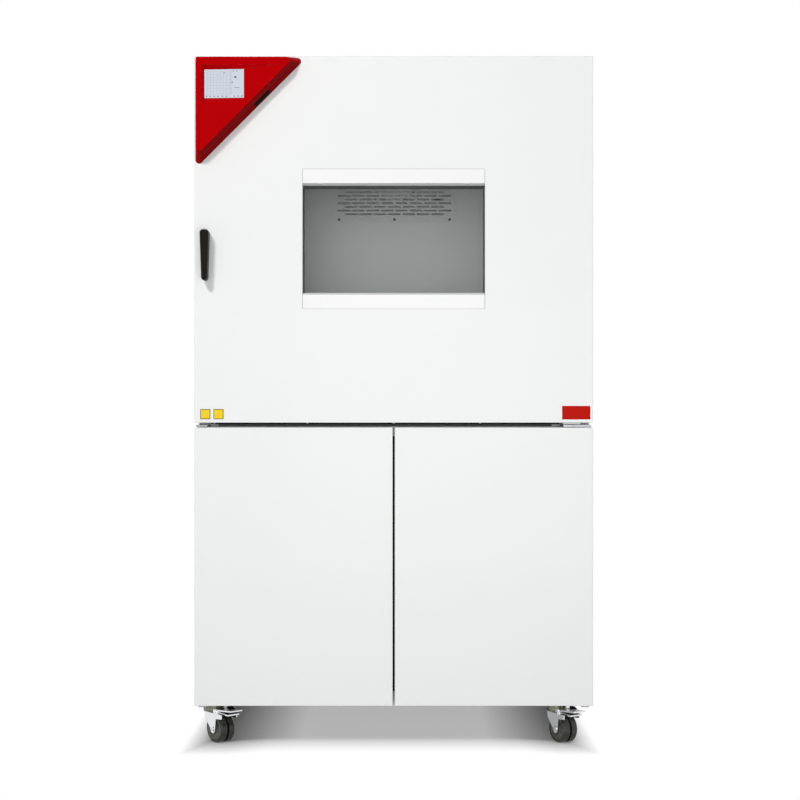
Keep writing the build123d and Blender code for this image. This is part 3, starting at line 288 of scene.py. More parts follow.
def brushed_material(name, colour, roughness, stretch, depth=0.000008, shade=0.16, spread=0.18,
                     edge_wear_highlight_colour=None, dusty=0.0):
    """Bare metal with lines along the axis that is stretched least."""
    material, tree, shader = start_material(name)
    lines = place_group(
        tree, brushed, Stretch_X=stretch[0], Stretch_Y=stretch[1], Stretch_Z=stretch[2],
        Roughness=roughness, Roughness_Spread=spread, Shade_Spread=shade,
    )
    result = shaded_colour(tree, colour, lines.outputs["Shade"])
    # Lighter colour along the edges: partly wear, partly a painted highlight.
    if edge_wear_highlight_colour:
        worn_highlit_edges = place_group(tree, edge_wear_and_highlight, Strength=0.7)
        result = mixed_colour(tree, worn_highlit_edges.outputs["Mask"], result, edge_wear_highlight_colour)
    if dusty:
        settled = place_group(tree, dust, Amount=dusty)
        result = mixed_colour(tree, settled.outputs["Mask"], result, dust_tone)
    tree.links.new(result, shader.inputs["Base Color"])
    tree.links.new(lines.outputs["Roughness"], shader.inputs["Roughness"])
    shader.inputs["Metallic"].default_value = 1.0
    add_bump(tree, shader, lines.outputs["Height"], depth)
    return material


def glass_material(name, tint, roughness):
    """Clear pane, darkened a little, that lets light through in shadow rays."""
    material, tree, shader = start_material(name)
    texture = place_group(
        tree, grain, Scale=40, Patch_Scale=6, Shade_Spread=0.01, Roughness=roughness, Roughness_Spread=0.02
    )
    tree.links.new(shaded_colour(tree, tint, texture.outputs["Shade"]), shader.inputs["Base Color"])
    tree.links.new(texture.outputs["Roughness"], shader.inputs["Roughness"])
    shader.inputs["IOR"].default_value = 1.45
    shader.inputs["Alpha"].default_value = 0.05
    material.surface_render_method = "BLENDED"
    return material


def screen_material():
    """Lit display, pale blue-white."""
    material, tree, shader = start_material("lit_screen")
    texture = place_group(
        tree, grain, Scale=3000, Patch_Scale=20, Shade_Spread=0.02, Roughness=0.18, Roughness_Spread=0.04
    )
    glow = shaded_colour(tree, (0.62, 0.68, 0.78), texture.outputs["Shade"])
    tree.links.new(glow, shader.inputs["Emission Color"])
    shader.inputs["Emission Strength"].default_value = 0.54
    surface = shaded_colour(tree, (0.25, 0.27, 0.30), texture.outputs["Shade"])
    tree.links.new(surface, shader.inputs["Base Color"])
    tree.links.new(texture.outputs["Roughness"], shader.inputs["Roughness"])
    return material


white = (0.85, 0.86, 0.855)
# Each edge colour below is lighter than its base: partly edge wear, partly a painted highlight along the
# edge.
materials = {
    "white_paint": grained_material("powder_coat_white", white, 0.42, 700, 0.000012, 0.012, 0.08,
                                    edge_wear_highlight_colour=(0.93, 0.93, 0.92), edge_wear_highlight_amount=0.35, coat=0.04),
    "strip_paint": grained_material("strip_white", (0.88, 0.885, 0.88), 0.32, 900, 0.000006, 0.01, 0.05,
                                    edge_wear_highlight_colour=(0.94, 0.94, 0.94), edge_wear_highlight_amount=0.3),
    "inner_paint": grained_material("inner_white", (0.80, 0.81, 0.81), 0.38, 800, 0.00001, 0.02, 0.06),
    "stainless": brushed_material("stainless_brushed", (0.46, 0.465, 0.47), 0.36, (900, 900, 14),
                                  edge_wear_highlight_colour=(0.62, 0.63, 0.64)),
    "stainless_flat": brushed_material("stainless_flat", (0.52, 0.525, 0.525), 0.5, (14, 900, 900),
                                       shade=0.08),
    "baffle_steel": brushed_material("baffle_steel", (0.50, 0.505, 0.505), 0.5, (10, 600, 600), 0.000001,
                                     shade=0.06),
    "zinc_dull": brushed_material("dull_zinc", (0.26, 0.26, 0.27), 0.42, (260, 260, 260), shade=0.2,
                                  edge_wear_highlight_colour=(0.7, 0.7, 0.7)),
    # Dark olive steel for the swivel race covers: painted shade on the race.
    "race_steel_painted_shade": brushed_material("race_steel_painted_shade", (0.17, 0.17, 0.125), 0.26, (300, 300, 300), shade=0.3,
                                   edge_wear_highlight_colour=(0.6, 0.6, 0.52)),
    "galvanised": grained_material("galvanised_sheet", (0.58, 0.60, 0.61), 0.42, 400, 0.00001, 0.12, 0.12,
                                   metallic=0.85, patch=28, dusty=0.15),
    "zinc": brushed_material("bright_zinc", (0.78, 0.79, 0.80), 0.24, (260, 260, 260), shade=0.14,
                             edge_wear_highlight_colour=(0.92, 0.92, 0.92)),
    "aluminium": brushed_material("aluminium_fins", (0.74, 0.75, 0.76), 0.36, (500, 500, 30), shade=0.2,
                                  dusty=0.2),
    "copper": brushed_material("copper_pipe", (0.74, 0.38, 0.25), 0.3, (90, 90, 90), shade=0.35, spread=0.2,
                               edge_wear_highlight_colour=(0.85, 0.52, 0.38)),
    "foam": grained_material("foam_cream", (0.80, 0.72, 0.50), 0.9, 350, 0.0004, 0.12, 0.05, patch=30),
    "black_steel": grained_material("compressor_black", (0.025, 0.025, 0.028), 0.35, 500, 0.00004, 0.2, 0.15,
                                    edge_wear_highlight_colour=(0.2, 0.2, 0.2), dusty=0.35, coat=0.1),
    "grey_paint": grained_material("receiver_grey", (0.20, 0.21, 0.22), 0.4, 600, 0.00003, 0.1, 0.1,
                                   edge_wear_highlight_colour=(0.4, 0.4, 0.4), dusty=0.25),
    "black_plastic": grained_material("moulded_black", (0.011, 0.010, 0.009), 0.36, 2200, 0.00002, 0.15, 0.12,
                                      edge_wear_highlight_colour=(0.11, 0.11, 0.11), edge_wear_highlight_amount=0.7, patch=30, specular=0.05),
    "grey_plastic": grained_material("moulded_grey", (0.36, 0.37, 0.38), 0.5, 1800, 0.00002, 0.05, 0.1,
                                     edge_wear_highlight_colour=(0.5, 0.5, 0.5), patch=20),
    "white_plastic": grained_material("moulded_white", (0.80, 0.80, 0.79), 0.45, 1800, 0.00002, 0.03, 0.08,
                                      patch=20),
    "red_plastic": grained_material("moulded_red", (0.44, 0.0, 0.0015), 0.34, 2400, 0.00002, 0.05, 0.08,
                                    edge_wear_highlight_colour=(0.72, 0.03, 0.05), edge_wear_highlight_amount=0.6, patch=14, specular=0.25,
                                    ior=1.12),
    # Darker copy of the red plastic: painted shade on the housing's long leaning side.
    "red_painted_shade": grained_material("moulded_red_painted_shade", (0.24, 0.0, 0.001), 0.4, 2400, 0.00002, 0.05, 0.08,
                                 edge_wear_highlight_colour=(0.40, 0.01, 0.02), edge_wear_highlight_amount=0.5, patch=14, specular=0.15, ior=1.12),
    "grey_spacer": grained_material("spacer_grey", (0.86, 0.86, 0.87), 0.5, 1200, 0.00002, 0.08, 0.1,
                                    patch=40),
    "silicone": grained_material("silicone_plug", (0.72, 0.71, 0.67), 0.62, 700, 0.00003, 0.05, 0.1,
                                 dusty=0.25, patch=40),
    "grey_rubber": grained_material("gasket_rubber", (0.22, 0.225, 0.23), 0.7, 900, 0.00004, 0.08, 0.1,
                                    patch=40),
    "tyre": grained_material("caster_tyre", (0.022, 0.022, 0.020), 0.27, 900, 0.00002, 0.3, 0.12,
                             edge_wear_highlight_colour=(0.22, 0.22, 0.19), edge_wear_highlight_amount=1.0, patch=60, specular=0.5),
    "hub_grey": grained_material("hub_grey", (0.10, 0.10, 0.088), 0.4, 1500, 0.00002, 0.2, 0.12, patch=60),
    # Dark grey for the window frame: painted shade in the window's reveal.
    "tunnel_grey_painted_shade": grained_material("tunnel_grey_painted_shade", (0.15, 0.153, 0.153), 0.5, 900, 0.00001, 0.04, 0.06),
    "seam_shade": grained_material("seam_shade", (0.30, 0.305, 0.30), 0.7, 900, 0.00001, 0.05, 0.05,
                                   patch=40),
    "yellow": grained_material("yellow_plate", (0.86, 0.62, 0.01), 0.4, 2000, 0.00001, 0.04, 0.06, patch=60),
    "red_plate": grained_material("red_plate", (0.50, 0.005, 0.0), 0.38, 2000, 0.00001, 0.05, 0.06, patch=60,
                                  specular=0.5, ior=1.12),
    "plate_edge": grained_material("plate_edge", (0.05, 0.035, 0.0), 0.5, 2000, 0.00001, 0.1, 0.06, patch=60,
                                   specular=0.1),
    # Near black for the strip under the main door and the post between the service doors: painted shade in
    # those gaps.
    "gap_painted_shade": grained_material("near_black_painted_shade", (0.004, 0.004, 0.005), 0.95, 900, 0.00003, 0.2, 0.05,
                                 patch=40),
    # Dark grey for the seal in front of the deck, also painted shade in the gap under the door.
    "seal_grey_gap_shade": grained_material("seal_grey_gap_shade", (0.19, 0.192, 0.19), 0.7, 900, 0.00003, 0.1, 0.05, patch=40),
    "screen_line": grained_material("screen_grey", (0.30, 0.33, 0.38), 0.5, 3000, 0.000002, 0.03, 0.04,
                                    patch=80),
    "screen_dark": grained_material("screen_dark", (0.05, 0.06, 0.08), 0.5, 3000, 0.000002, 0.05, 0.04,
                                    patch=80),
    "glass": glass_material("window_glass", (0.10, 0.11, 0.11), 0.03),
    "screen": screen_material(),
}

finish_of_node = {
    "insulation": "foam", "door_insulation": "foam", "back_panels": "galvanised",
    "chamber_liner": "stainless", "rear_duct_wall": "stainless_flat", "slotted_air_baffle": "baffle_steel",
    "fan_ring": "stainless_flat", "shelf_rails": "stainless", "shelf": "stainless", "heater": "stainless",
    "temperature_sensor": "black_steel", "access_port": "stainless", "evaporator": "aluminium",
    "condenser": "aluminium", "circulation_fan": "aluminium", "fan_motor": "grey_plastic",
    "condenser_shroud": "galvanised", "condenser_fan": "black_plastic", "compressor": "black_steel",
    "liquid_receiver": "grey_paint", "refrigerant_pipes": "copper", "electrical_enclosure": "grey_plastic",
    "hinge_brackets": "zinc_dull", "baffle_screws": "black_steel", "window_screws": "white_plastic",
    "caster_mounts": "zinc", "hinge_bushes": "white_plastic", "window_frame": "tunnel_grey_painted_shade",
    "window_strips": "strip_paint", "window_panes": "glass", "door_gasket": "grey_rubber",
    "control_housing": "red_plastic",
    "touch_screen": "screen", "usb_flap": "black_plastic", "handle_post": "black_plastic",
    "door_handle": "black_plastic", "service_door_catches": "black_plastic", "main_switch": "black_plastic",
    "main_switch_frame": "grey_plastic", "rear_inlets": "black_plastic", "drain_spigot": "white_plastic",
    "port_plug": "silicone", "door_inner_panel": "inner_paint",
}


def finish_for(name):
    """The finish of a CAD node."""
    if name.endswith("_wheel"):
        return "tyre"
    if name.endswith(("_fork", "_pedal")):
        return "zinc"
    return finish_of_node.get(name, "white_paint")


def dress(piece, finish):
    """Give a piece one material on every slot."""
    piece.data.materials.clear()
    piece.data.materials.append(materials[finish])


body_of_node = {
    node: body for body, members in frame["record"]["behaviour"]["bodies"].items() for node in members
}


def softened(name, width):
    """A copy of a CAD node with its sharp edges rounded, standing for that node."""
    mesh = nodes[name].data.copy()
    mesh.name = f"{name}_finished"
    form = bmesh.new()
    form.from_mesh(mesh)
    bmesh.ops.remove_doubles(form, verts=form.verts, dist=1e-6)
    bmesh.ops.dissolve_limit(
        form, angle_limit=math.radians(0.5), verts=form.verts, edges=form.edges, delimit={"NORMAL"}
    )
    form.to_mesh(mesh)
    form.free()
    piece = bpy.data.objects.new(f"{name}_finished", mesh)
    bpy.context.collection.objects.link(piece)
    bevel = piece.modifiers.new("rounded_edges", "BEVEL")
    bevel.width = width
    bevel.segments = 2
    bevel.limit_method = "ANGLE"
    bevel.angle_limit = math.radians(35)
    bevel.use_clamp_overlap = True
    for face in mesh.polygons:
        face.use_smooth = True
    weighted = piece.modifiers.new("even_normals", "WEIGHTED_NORMAL")
    weighted.keep_sharp = True
    dress(piece, finish_for(name))
    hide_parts(name)
    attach(piece, body_of_node[name])


def show_node(name):
    """Keep a CAD node as it is, with its finish."""
    dress(nodes[name], finish_for(name))


rounded_widths = {
    "door_outer_shell": 0.0008, "left_service_door": 0.0008, "right_service_door": 0.0008,
    "window_strips": 0.0006, "control_housing": 0.0022, "usb_flap": 0.0008, "door_handle": 0.0015,
    "hinge_brackets": 0.0006, "base_frame": 0.0008, "lower_side_panels": 0.0004,
    "compartment_deck": 0.0004, "main_switch": 0.0008, "main_switch_frame": 0.0008,
    "electrical_enclosure": 0.0006, "window_frame": 0.0006, "door_gasket": 0.002,
    "front_left_pedal": 0.0008, "front_right_pedal": 0.0008,
}
for name in nodes:
    if name in rounded_widths:
        softened(name, rounded_widths[name])
    else:
        show_node(name)


# Small pieces that the construction leaves to this script


def finished(name, mesh, finish, body):
    """Turn a mesh into a piece that rides on a body."""
    piece = bpy.data.objects.new(name, mesh)
    bpy.context.collection.objects.link(piece)
    dress(piece, finish)
    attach(piece, body)
    return piece


def mesh_from(name, form):
    """Turn an edited form into a mesh."""
    mesh = bpy.data.meshes.new(name)
    form.to_mesh(mesh)
    form.free()
    return mesh


def add_plate(form, centre, size, bevel=0.0):
    """A box added to a mesh, with its edges chamfered if asked."""
    made = bmesh.ops.create_cube(form, size=1)
    bmesh.ops.scale(form, vec=size, verts=made["verts"])
    bmesh.ops.translate(form, vec=centre, verts=made["verts"])
    if bevel:
        edges = list({edge for vertex in made["verts"] for edge in vertex.link_edges})
        bmesh.ops.bevel(form, geom=edges, offset=bevel, segments=2, profile=0.5, affect="EDGES")


def add_turned(form, profile, place, steps):
    """A turned shape from (radius, height) points, its axis along the matrix's own z."""
    rings = []
    for radius, height in profile:
        if radius < 1e-9:
            rings.append([form.verts.new(place @ Vector((0, 0, height)))])
            continue
        ring = []
        for i in range(steps):
            turn = 2 * math.pi * i / steps
            corner = Vector((radius * math.cos(turn), radius * math.sin(turn), height))
            ring.append(form.verts.new(place @ corner))
        rings.append(ring)
    for low, high in zip(rings, rings[1:]):
        for i in range(steps):
            j = (i + 1) % steps
            corners = [low[i % len(low)], low[j % len(low)], high[j % len(high)], high[i % len(high)]]
            corners = list(dict.fromkeys(corners))
            if len(corners) > 2:
                form.faces.new(corners)


def smooth(piece, angle=35):
    """Shade a piece smooth except across sharp edges."""
    for face in piece.data.polygons:
        face.use_smooth = True
    piece.data.set_sharp_from_angle(angle=math.radians(angle))


def label_plates():
    """Plain plates where the door carries its labels, left blank inside a thin border."""
    thick = 0.0006
    chamfer = 0.0002
    sign_width = 0.028
    field_width = 0.0245
    sign_height = 0.9435
    border = bmesh.new()
    fields = bmesh.new()
    sign_places = (-0.5270, -0.4900)
    for x in sign_places:
        add_plate(border, (x, door_front - thick / 2, sign_height), (sign_width, thick, sign_width), chamfer)
        add_plate(fields, (x, door_front - thick, sign_height), (field_width, thick, field_width), chamfer)
    finished("plate_borders", mesh_from("plate_borders", border), "plate_edge", "main_door")
    finished("yellow_plates", mesh_from("yellow_plates", fields), "yellow", "main_door")
    form = bmesh.new()
    red_place = (0.5105, door_front - thick / 2, 0.9475)
    add_plate(form, red_place, (0.079, thick, 0.038), chamfer)
    finished("red_plate", mesh_from("red_plate", form), "red_plate", "main_door")


def painted_seam_shadows():
    """Painted shadow lines: thin grey plates where the clamping strips meet the door."""
    side_line = 0.001
    level_line = 0.0007
    thick = 0.0004
    proud = 0.0001
    depth = door_front + thick / 2 - proud
    middle = (strip_low.z + strip_high.z) / 2
    form = bmesh.new()
    for side in (-1, 1):
        x = side * (strip_high.x + side_line / 2)
        add_plate(form, (x, depth, middle), (side_line, thick, strip_high.z - strip_low.z))
    for z in (strip_low.z, strip_high.z):
        add_plate(form, (0, depth, z), (2 * strip_high.x + 2 * side_line, thick, level_line))
    finished("painted_seam_shadows", mesh_from("painted_seam_shadows", form), "seam_shade", "main_door")


def sloped_wall(form, outer, inner, under):
    """A wall with a triangular section, from its outer edge down to its inner edge."""
    rows = [[form.verts.new(corner) for corner in row] for row in (outer, inner, under)]
    for first, second in zip(rows, rows[1:] + rows[:1]):
        for i in range(len(first) - 1):
            form.faces.new((first[i], first[i + 1], second[i + 1], second[i]))
    for end in (0, -1):
        form.faces.new([row[end] for row in rows])


def screen_bezel():
    """Sloped walls of the recess, from its rim down to the screen."""
    low, high = (Vector(c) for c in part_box("touch_screen"))
    recess_width = 0.227
    recess_height = 0.104
    recess_depth = 0.014
    rim_left = housing_low.x + 0.023
    rim_top = housing_high.z - 0.0285
    rim_bottom = rim_top - recess_height
    rim_right = rim_left + recess_width
    rim_front = housing_low.y
    slope = recess_depth / recess_width
    proud = 0.0003

    def floor(x, z, lift=0.0):
        return Vector((x, rim_front + slope * (rim_right - x) - lift, z))

    def rim(x, z):
        return Vector((x, rim_front + proud, z))

    form = bmesh.new()
    gap = 0.0002
    stations = (rim_left, low.x, high.x, rim_right - 0.02)
    drops = (high.z + gap, high.z + gap, high.z + gap, rim_top - 0.001)
    sloped_wall(
        form, [rim(x, rim_top) for x in stations],
        [floor(x, z, proud) for x, z in zip(stations, drops)],
        [floor(x, rim_top) for x in stations],
    )
    sides = (rim_bottom, low.z, high.z, rim_top)
    sloped_wall(
        form, [rim(rim_left, z) for z in sides],
        [floor(low.x - gap, z, proud) for z in sides],
        [floor(rim_left, z) for z in sides],
    )
    reach = (rim_left, low.x, high.x, high.x + 0.004)
    rises = (low.z - gap, low.z - gap, low.z - gap, rim_bottom + 0.009)
    sloped_wall(
        form, [rim(x, rim_bottom) for x in reach],
        [floor(x, z, proud) for x, z in zip(reach, rises)],
        [floor(x, rim_bottom) for x in reach],
    )
    bmesh.ops.recalc_face_normals(form, faces=form.faces)
    finished("screen_bezel", mesh_from("screen_bezel", form), "red_plastic", "main_door")


def paint_port_pocket_shade():
    """Give the pocket behind the flap black faces: painted shade in the pocket."""
    housing = bpy.data.objects["control_housing_finished"]
    housing.data.materials.append(materials["black_plastic"])
    low, high = (Vector(c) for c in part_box("usb_flap"))
    margin = 0.007
    largest_pocket_face = 0.001
    for face in housing.data.polygons:
        inside = all(low[i] - margin < face.center[i] < high[i] + margin for i in range(3))
        if inside and face.area < largest_pocket_face:
            face.material_index = 1


def paint_shade_on_red_wall():
    """Paint shade onto the housing's long leaning side: a darker copy of its red stands for the shade that
    side is in.
    """
    housing = bpy.data.objects["control_housing_finished"]
    housing.data.materials.append(materials["red_painted_shade"])
    for face in housing.data.polygons:
        leaning = face.normal.x > 0.3 and face.normal.z < -0.3 and face.normal.y > -0.8
        if leaning and face.material_index == 0:
            face.material_index = 2


def slim_handle():
    """Taper the handle towards its lower end."""
    grip = bpy.data.objects["door_handle_finished"]
    low, high = (Vector(c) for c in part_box("door_handle"))
    middle = (low.x + high.x) / 2
    low_width = 0.72
    widening = 0.18
    for vertex in grip.data.vertices:
        rise = (vertex.co.z - low.z) / (high.z - low.z)
        vertex.co.x = middle + (vertex.co.x - middle) * (low_width + widening * rise)


def hinge_spacer():
    """Spacer plate and white washer on the right hinge bracket, under the door."""
    bracket_top = 0.9146
    height = door_low.z - 0.0003 - bracket_top
    form = bmesh.new()
    add_plate(form, (0.4995, -0.4200, bracket_top + height / 2), (0.049, 0.036, height), 0.0006)
    finished("hinge_spacer", mesh_from("hinge_spacer", form), "grey_spacer", "cabinet")
    form = bmesh.new()
    place = Matrix.Translation((0.5365, -0.3890, bracket_top))
    profile = [(0.0065, 0), (0.0105, 0), (0.0105, height), (0.0065, height), (0.0065, 0)]
    add_turned(form, profile, place, 32)
    piece = finished("hinge_washer", mesh_from("hinge_washer", form), "white_plastic", "cabinet")
    smooth(piece)


def door_gap_trim():
    """Rubber strip and screw heads under the main door, and the seal in front of the deck; the strip's
    near-black and the seal's grey are painted shade in the gap under the door.
    """
    strip_height = 0.0052
    strip_middle = -0.025
    form = bmesh.new()
    add_plate(form, (strip_middle, -0.369, door_low.z - strip_height / 2), (0.99, 0.006, strip_height), 0.001)
    finished("under_door_strip", mesh_from("under_door_strip", form), "gap_painted_shade", "main_door")
    form = bmesh.new()
    seal_place = (strip_middle, jacket_low.y - 0.0012, jacket_low.z + 0.0032)
    add_plate(form, seal_place, (0.95, 0.0022, 0.0056), 0.0008)
    finished("deck_seal", mesh_from("deck_seal", form), "seal_grey_gap_shade", "cabinet")
    heads = bmesh.new()
    head_profile = [(0.0034, 0), (0.0034, 0.0008), (0.0024, 0.0018), (0, 0.0021)]
    behind_front = 0.007
    screw_places = (-0.503, -0.242, 0, 0.242)
    for x in screw_places:
        place = Matrix.Translation((x, door_front + behind_front, door_low.z))
        add_turned(heads, head_profile, place @ Matrix.Rotation(math.pi, 4, "X"), 20)
    piece = finished("under_door_screws", mesh_from("under_door_screws", heads), "white_plastic",
                     "main_door")
    smooth(piece)


def caster_place(name):
    """Matrix whose x runs along the caster's trail and whose y runs along its axle, at floor level."""
    swivel = Vector(joints[f"{name}_swivel"]["pos_m"])
    axle = Vector(joints[f"{name}_roll"]["axis"])
    trail = Vector((axle.y, -axle.x, 0))
    turn = Matrix((trail, axle, Vector((0, 0, 1)))).transposed().to_4x4()
    return Matrix.Translation((swivel.x, swivel.y, 0)) @ turn


def race_covers(name, place):
    """Dust covers round the two halves of the swivel race, in dark olive steel that is painted shade on the
    race.
    """
    fork_top = 0.0853
    lower_top = 0.0916
    upper_low, upper_top = 0.0930, 0.1165
    inner, outer = 0.0283, 0.0304
    for part, body, low, high in (
        ("lower", f"{name}_fork", fork_top, lower_top), ("upper", "cabinet", upper_low, upper_top),
    ):
        form = bmesh.new()
        profile = [
            (inner, low), (outer - 0.0006, low), (outer, low + 0.0006), (outer, high - 0.0012),
            (outer - 0.0012, high), (inner, high), (inner, low),
        ]
        add_turned(form, profile, place, 40)
        mesh = mesh_from("race_cover", form)
        smooth(finished(f"{name}_{part}_race_cover", mesh, "race_steel_painted_shade", body))


def axle_nuts(name, place, axle):
    """Washer and hexagon nut on each end of the axle."""
    form = bmesh.new()
    bore = 0.0051
    cheek = 0.028
    washer_top = cheek + 0.0008
    for side in (-1, 1):
        outward = Matrix.Translation(axle) @ Matrix.Rotation(-side * math.pi / 2, 4, "X")
        washer = [(bore, cheek), (0.0085, cheek), (0.0085, washer_top), (bore, washer_top)]
        add_turned(form, washer, place @ outward, 28)
        nut = [(bore, washer_top), (0.0068, washer_top), (0.0068, cheek + 0.0032), (bore, cheek + 0.0036)]
        add_turned(form, nut, place @ outward, 6)
    finished(f"{name}_axle_nuts", mesh_from("axle_nuts", form), "zinc", f"{name}_fork")


def wheel_discs(name, place, axle):
    """Dished disc sunk in each side of the wheel, with a raised ring at its rim."""
    form = bmesh.new()
    profile = [
        (0.0056, 0.0191), (0.011, 0.0222), (0.0125, 0.0222), (0.0150, 0.0202), (0.0262, 0.0202),
        (0.0284, 0.0236), (0.0306, 0.0236), (0.0306, 0.0191),
    ]
    for side in (-1, 1):
        outward = Matrix.Translation(axle) @ Matrix.Rotation(-side * math.pi / 2, 4, "X")
        add_turned(form, profile, place @ outward, 40)
    mesh = mesh_from("wheel_discs", form)
    smooth(finished(f"{name}_wheel_discs", mesh, "hub_grey", f"{name}_wheel"))


def pedal_stop(name, place):
    """Black stop on the fork, on the far side of the brake pedal."""
    form = bmesh.new()
    near_side, far_side = 0.0240, 0.0312
    outline = [(0.032, 0.0851), (0.069, 0.0851), (0.069, 0.092), (0.050, 0.101), (0.032, 0.101)]
    near = [form.verts.new(place @ Vector((x, near_side, z))) for x, z in outline]
    far = [form.verts.new(place @ Vector((x, far_side, z))) for x, z in outline]
    form.faces.new(near)
    form.faces.new(list(reversed(far)))
    for i in range(len(outline)):
        j = (i + 1) % len(outline)
        form.faces.new((near[i], far[i], far[j], near[j]))
    bmesh.ops.recalc_face_normals(form, faces=form.faces)
    bmesh.ops.bevel(form, geom=form.edges[:], offset=0.0008, segments=2, profile=0.5, affect="EDGES")
    mesh = mesh_from("pedal_stop", form)
    finished(f"{name}_pedal_stop", mesh, "black_plastic", f"{name}_fork")


def caster_details():
    """Covers, nuts and discs of the four casters, and the stops of the two with brakes."""
    trail = 0.035
    wheel_radius = 0.040
    axle = Vector((trail, 0, wheel_radius))
    for name in ("front_left", "front_right", "rear_left", "rear_right"):
        place = caster_place(name)
        race_covers(name, place)
        axle_nuts(name, place, axle)
        wheel_discs(name, place, axle)
        if name.startswith("front"):
            pedal_stop(name, place)


def centre_post():
    """Folded post behind the gap between the service doors, near-black as painted shade in that gap."""
    frame_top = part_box("base_frame")[1][2]
    deck_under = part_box("compartment_deck")[0][2]
    post_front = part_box("base_frame")[0][1]
    wall = 0.0015
    width = 0.03
    flange = 0.016
    fold = 0.0004
    middle = (frame_top + deck_under) / 2
    height = deck_under - frame_top
    form = bmesh.new()
    add_plate(form, (0, post_front + wall / 2, middle), (width, wall, height), fold)
    for side in (-1, 1):
        place = (side * (width / 2 - wall / 2), post_front + wall + flange / 2, middle)
        add_plate(form, place, (wall, flange, height), fold)
    finished("centre_post", mesh_from("centre_post", form), "gap_painted_shade", "cabinet")


def screen_picture():
    """A plain graph and a row of marks on the display."""
    low, high = (Vector(c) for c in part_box("touch_screen"))
    screen_thickness = 0.0015
    tilt = math.atan2(high.y - low.y - screen_thickness, high.x - low.x)
    origin = Vector((low.x, high.y - screen_thickness, low.z))
    width = (high.x - low.x) / math.cos(tilt)
    height = high.z - low.z
    place = Matrix.Translation(origin) @ Matrix.Rotation(-tilt, 4, "Z")
    lift = 0.00012

    def mark(form, left, right, low_edge, high_edge):
        corners = [(left, low_edge), (right, low_edge), (right, high_edge), (left, high_edge)]
        form.faces.new([form.verts.new(place @ Vector((x * width, -lift, z * height))) for x, z in corners])

    grid = bmesh.new()
    line = 0.004
    for i in range(8):
        x = 0.07 + i * 0.082
        mark(grid, x, x + line, 0.12, 0.93)
    for i in range(9):
        z = 0.14 + i * 0.098
        mark(grid, 0.05, 0.67, z, z + line)
    mark(grid, 0.672, 0.68, 0.12, 0.95)
    finished("screen_grid", mesh_from("screen_grid", grid), "screen_line", "main_door")
    marks = bmesh.new()
    for x in (0.045, 0.135, 0.235, 0.335, 0.445, 0.545, 0.745, 0.845, 0.94):
        mark(marks, x, x + 0.022, 0.035, 0.075)
    for x in (0.72, 0.81):
        mark(marks, x, x + 0.03, 0.925, 0.95)
    mark(marks, 0.755, 0.815, 0.70, 0.75)
    mark(marks, 0.69, 0.725, 0.53, 0.56)
    mark(marks, 0.77, 0.89, 0.345, 0.36)
    mark(marks, 0.49, 0.515, 0.87, 0.895)
    finished("screen_marks", mesh_from("screen_marks", marks), "screen_dark", "main_door")


label_plates()
painted_seam_shadows()
screen_bezel()
paint_port_pocket_shade()
paint_shade_on_red_wall()
slim_handle()
hinge_spacer()
door_gap_trim()
caster_details()
centre_post()
screen_picture()


# Floor, light and camera


def floor_whiteness(tree):
    """How far the floor has turned into the white surround: full outside the cabinet's footprint, and part
    way under its middle, a painted lightening of the shadow there.
    """
    shadow_start = 0.26
    right_start, right_end = half_width - 0.065, half_width + 0.02
    left_start, left_end = half_width - 0.03, half_width + 0.04
    rear_end = jacket_high.y + 0.09
    painted_light_share = 0.42
    place = tree.nodes.new("ShaderNodeTexCoord").outputs["Object"]
    split = tree.nodes.new("ShaderNodeSeparateXYZ")
    tree.links.new(place, split.inputs[0])
    aside = add_math(tree, "ABSOLUTE", split.outputs["X"], 0)
    ahead = add_math(tree, "MULTIPLY", split.outputs["Y"], -1)
    right = add_range(tree, split.outputs["X"], right_start, right_end, 0, 1)
    left = add_range(tree, split.outputs["X"], -left_end, -left_start, 1, 0)
    held_back = add_range(tree, aside, 0.36, 0.46, 0, 0.045)
    fore = add_range(tree, add_math(tree, "SUBTRACT", ahead, held_back), shadow_start, -door_front, 0, 1)
    rear = add_range(tree, split.outputs["Y"], jacket_high.y, rear_end, 0, 1)
    # Painted light: under the cabinet's middle the floor is lifted part way to white, lightening its shadow.
    middle = add_range(tree, aside, 0.27, 0.5, painted_light_share, 0)
    outside = add_math(tree, "MAXIMUM", add_math(tree, "MAXIMUM", right, left), fore)
    outside = add_math(tree, "MAXIMUM", outside, rear)
    inside = add_math(tree, "MULTIPLY", middle, add_math(tree, "SUBTRACT", 1, outside))
    return add_math(tree, "ADD", outside, inside)


def seen_directly(tree):
    """One for rays from the camera, reflections and glass, nothing for the light that falls on the part."""
    path = tree.nodes.new("ShaderNodeLightPath")
    seen = add_math(tree, "MAXIMUM", path.outputs["Is Camera Ray"], path.outputs["Is Glossy Ray"])
    return add_math(tree, "MAXIMUM", seen, path.outputs["Is Transmission Ray"])


def stage_floor():
    """Pale floor that keeps the shadow under the cabinet, lightened by painted light under its middle, and
    turns into the white surround.
    """
    form = bmesh.new()
    bmesh.ops.create_grid(form, x_segments=1, y_segments=1, size=12)
    floor = bpy.data.objects.new("floor", mesh_from("floor", form))
    bpy.context.collection.objects.link(floor)
    material, tree, shader = start_material("pale_floor")
    tree.nodes.remove(shader)
    matte = tree.nodes.new("ShaderNodeBsdfDiffuse")
    matte.inputs["Color"].default_value = (0.55, 0.55, 0.55, 1)
    glow = tree.nodes.new("ShaderNodeEmission")
    glow.inputs["Strength"].default_value = 1
    mix = tree.nodes.new("ShaderNodeMixShader")
    whiteness = add_math(tree, "MULTIPLY", floor_whiteness(tree), seen_directly(tree))
    tree.links.new(whiteness, mix.inputs["Fac"])
    tree.links.new(matte.outputs[0], mix.inputs[1])
    tree.links.new(glow.outputs[0], mix.inputs[2])
    tree.links.new(mix.outputs[0], tree.nodes["Material Output"].inputs["Surface"])
    floor.data.materials.append(material)


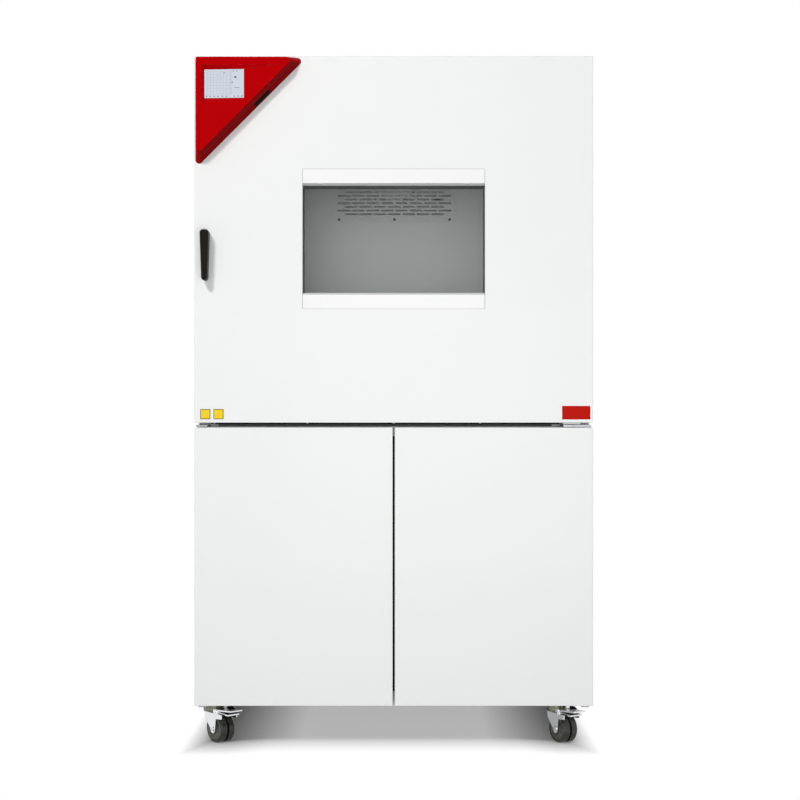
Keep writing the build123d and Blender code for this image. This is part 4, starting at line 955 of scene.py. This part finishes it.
def surround():
    """White backdrop for the camera, reflections and glass, and even light for the rest."""
    world = bpy.data.worlds.new("studio")
    world.use_nodes = True
    tree = world.node_tree
    light = tree.nodes["Background"]
    light.inputs["Color"].default_value = (1, 1, 1, 1)
    light.inputs["Strength"].default_value = 0.28
    backdrop = tree.nodes.new("ShaderNodeBackground")
    backdrop.inputs["Color"].default_value = (1, 1, 1, 1)
    backdrop.inputs["Strength"].default_value = 1
    mix = tree.nodes.new("ShaderNodeMixShader")
    tree.links.new(seen_directly(tree), mix.inputs["Fac"])
    tree.links.new(light.outputs[0], mix.inputs[1])
    tree.links.new(backdrop.outputs[0], mix.inputs[2])
    tree.links.new(mix.outputs[0], tree.nodes["World Output"].inputs["Surface"])
    bpy.context.scene.world = world


def softbox(name, place, target, size, power, mirrored=True):
    """Area lamp aimed at a target; one that isn't mirrored leaves no glare on flat faces."""
    lamp = bpy.data.lights.new(name, "AREA")
    lamp.shape = "RECTANGLE"
    lamp.size, lamp.size_y = size
    lamp.energy = power
    holder = bpy.data.objects.new(name, lamp)
    holder.location = place
    holder.visible_glossy = mirrored
    holder.rotation_euler = (Vector(target) - Vector(place)).to_track_quat("-Z", "Y").to_euler()
    bpy.context.collection.objects.link(holder)


def camera():
    """Level camera in front of the door."""
    view = bpy.data.cameras.new("camera")
    view.lens = camera_lens
    view.sensor_width = 36
    view.clip_end = 100
    holder = bpy.data.objects.new("camera", view)
    holder.location = (camera_side, door_front - camera_distance, camera_height)
    holder.rotation_euler = (math.radians(90), 0, 0)
    bpy.context.collection.objects.link(holder)
    bpy.context.scene.camera = holder


stage_floor()
surround()
softbox("key", place=(-1.9, -5.3, 4.4), target=(0, -0.3, 0.9), size=(0.9, 0.9), power=178, mirrored=False)
softbox("fill", place=(0.5, -4.9, 0.4), target=(0, -0.3, 0.2), size=(2.2, 2.2), power=93)
softbox("chamber_light", place=(0.03, -0.33, 1.46), target=(0.05, 0.09, 1.46), size=(0.62, 0.38), power=0.86)
camera()
bpy.context.scene.view_settings.view_transform = "Standard"
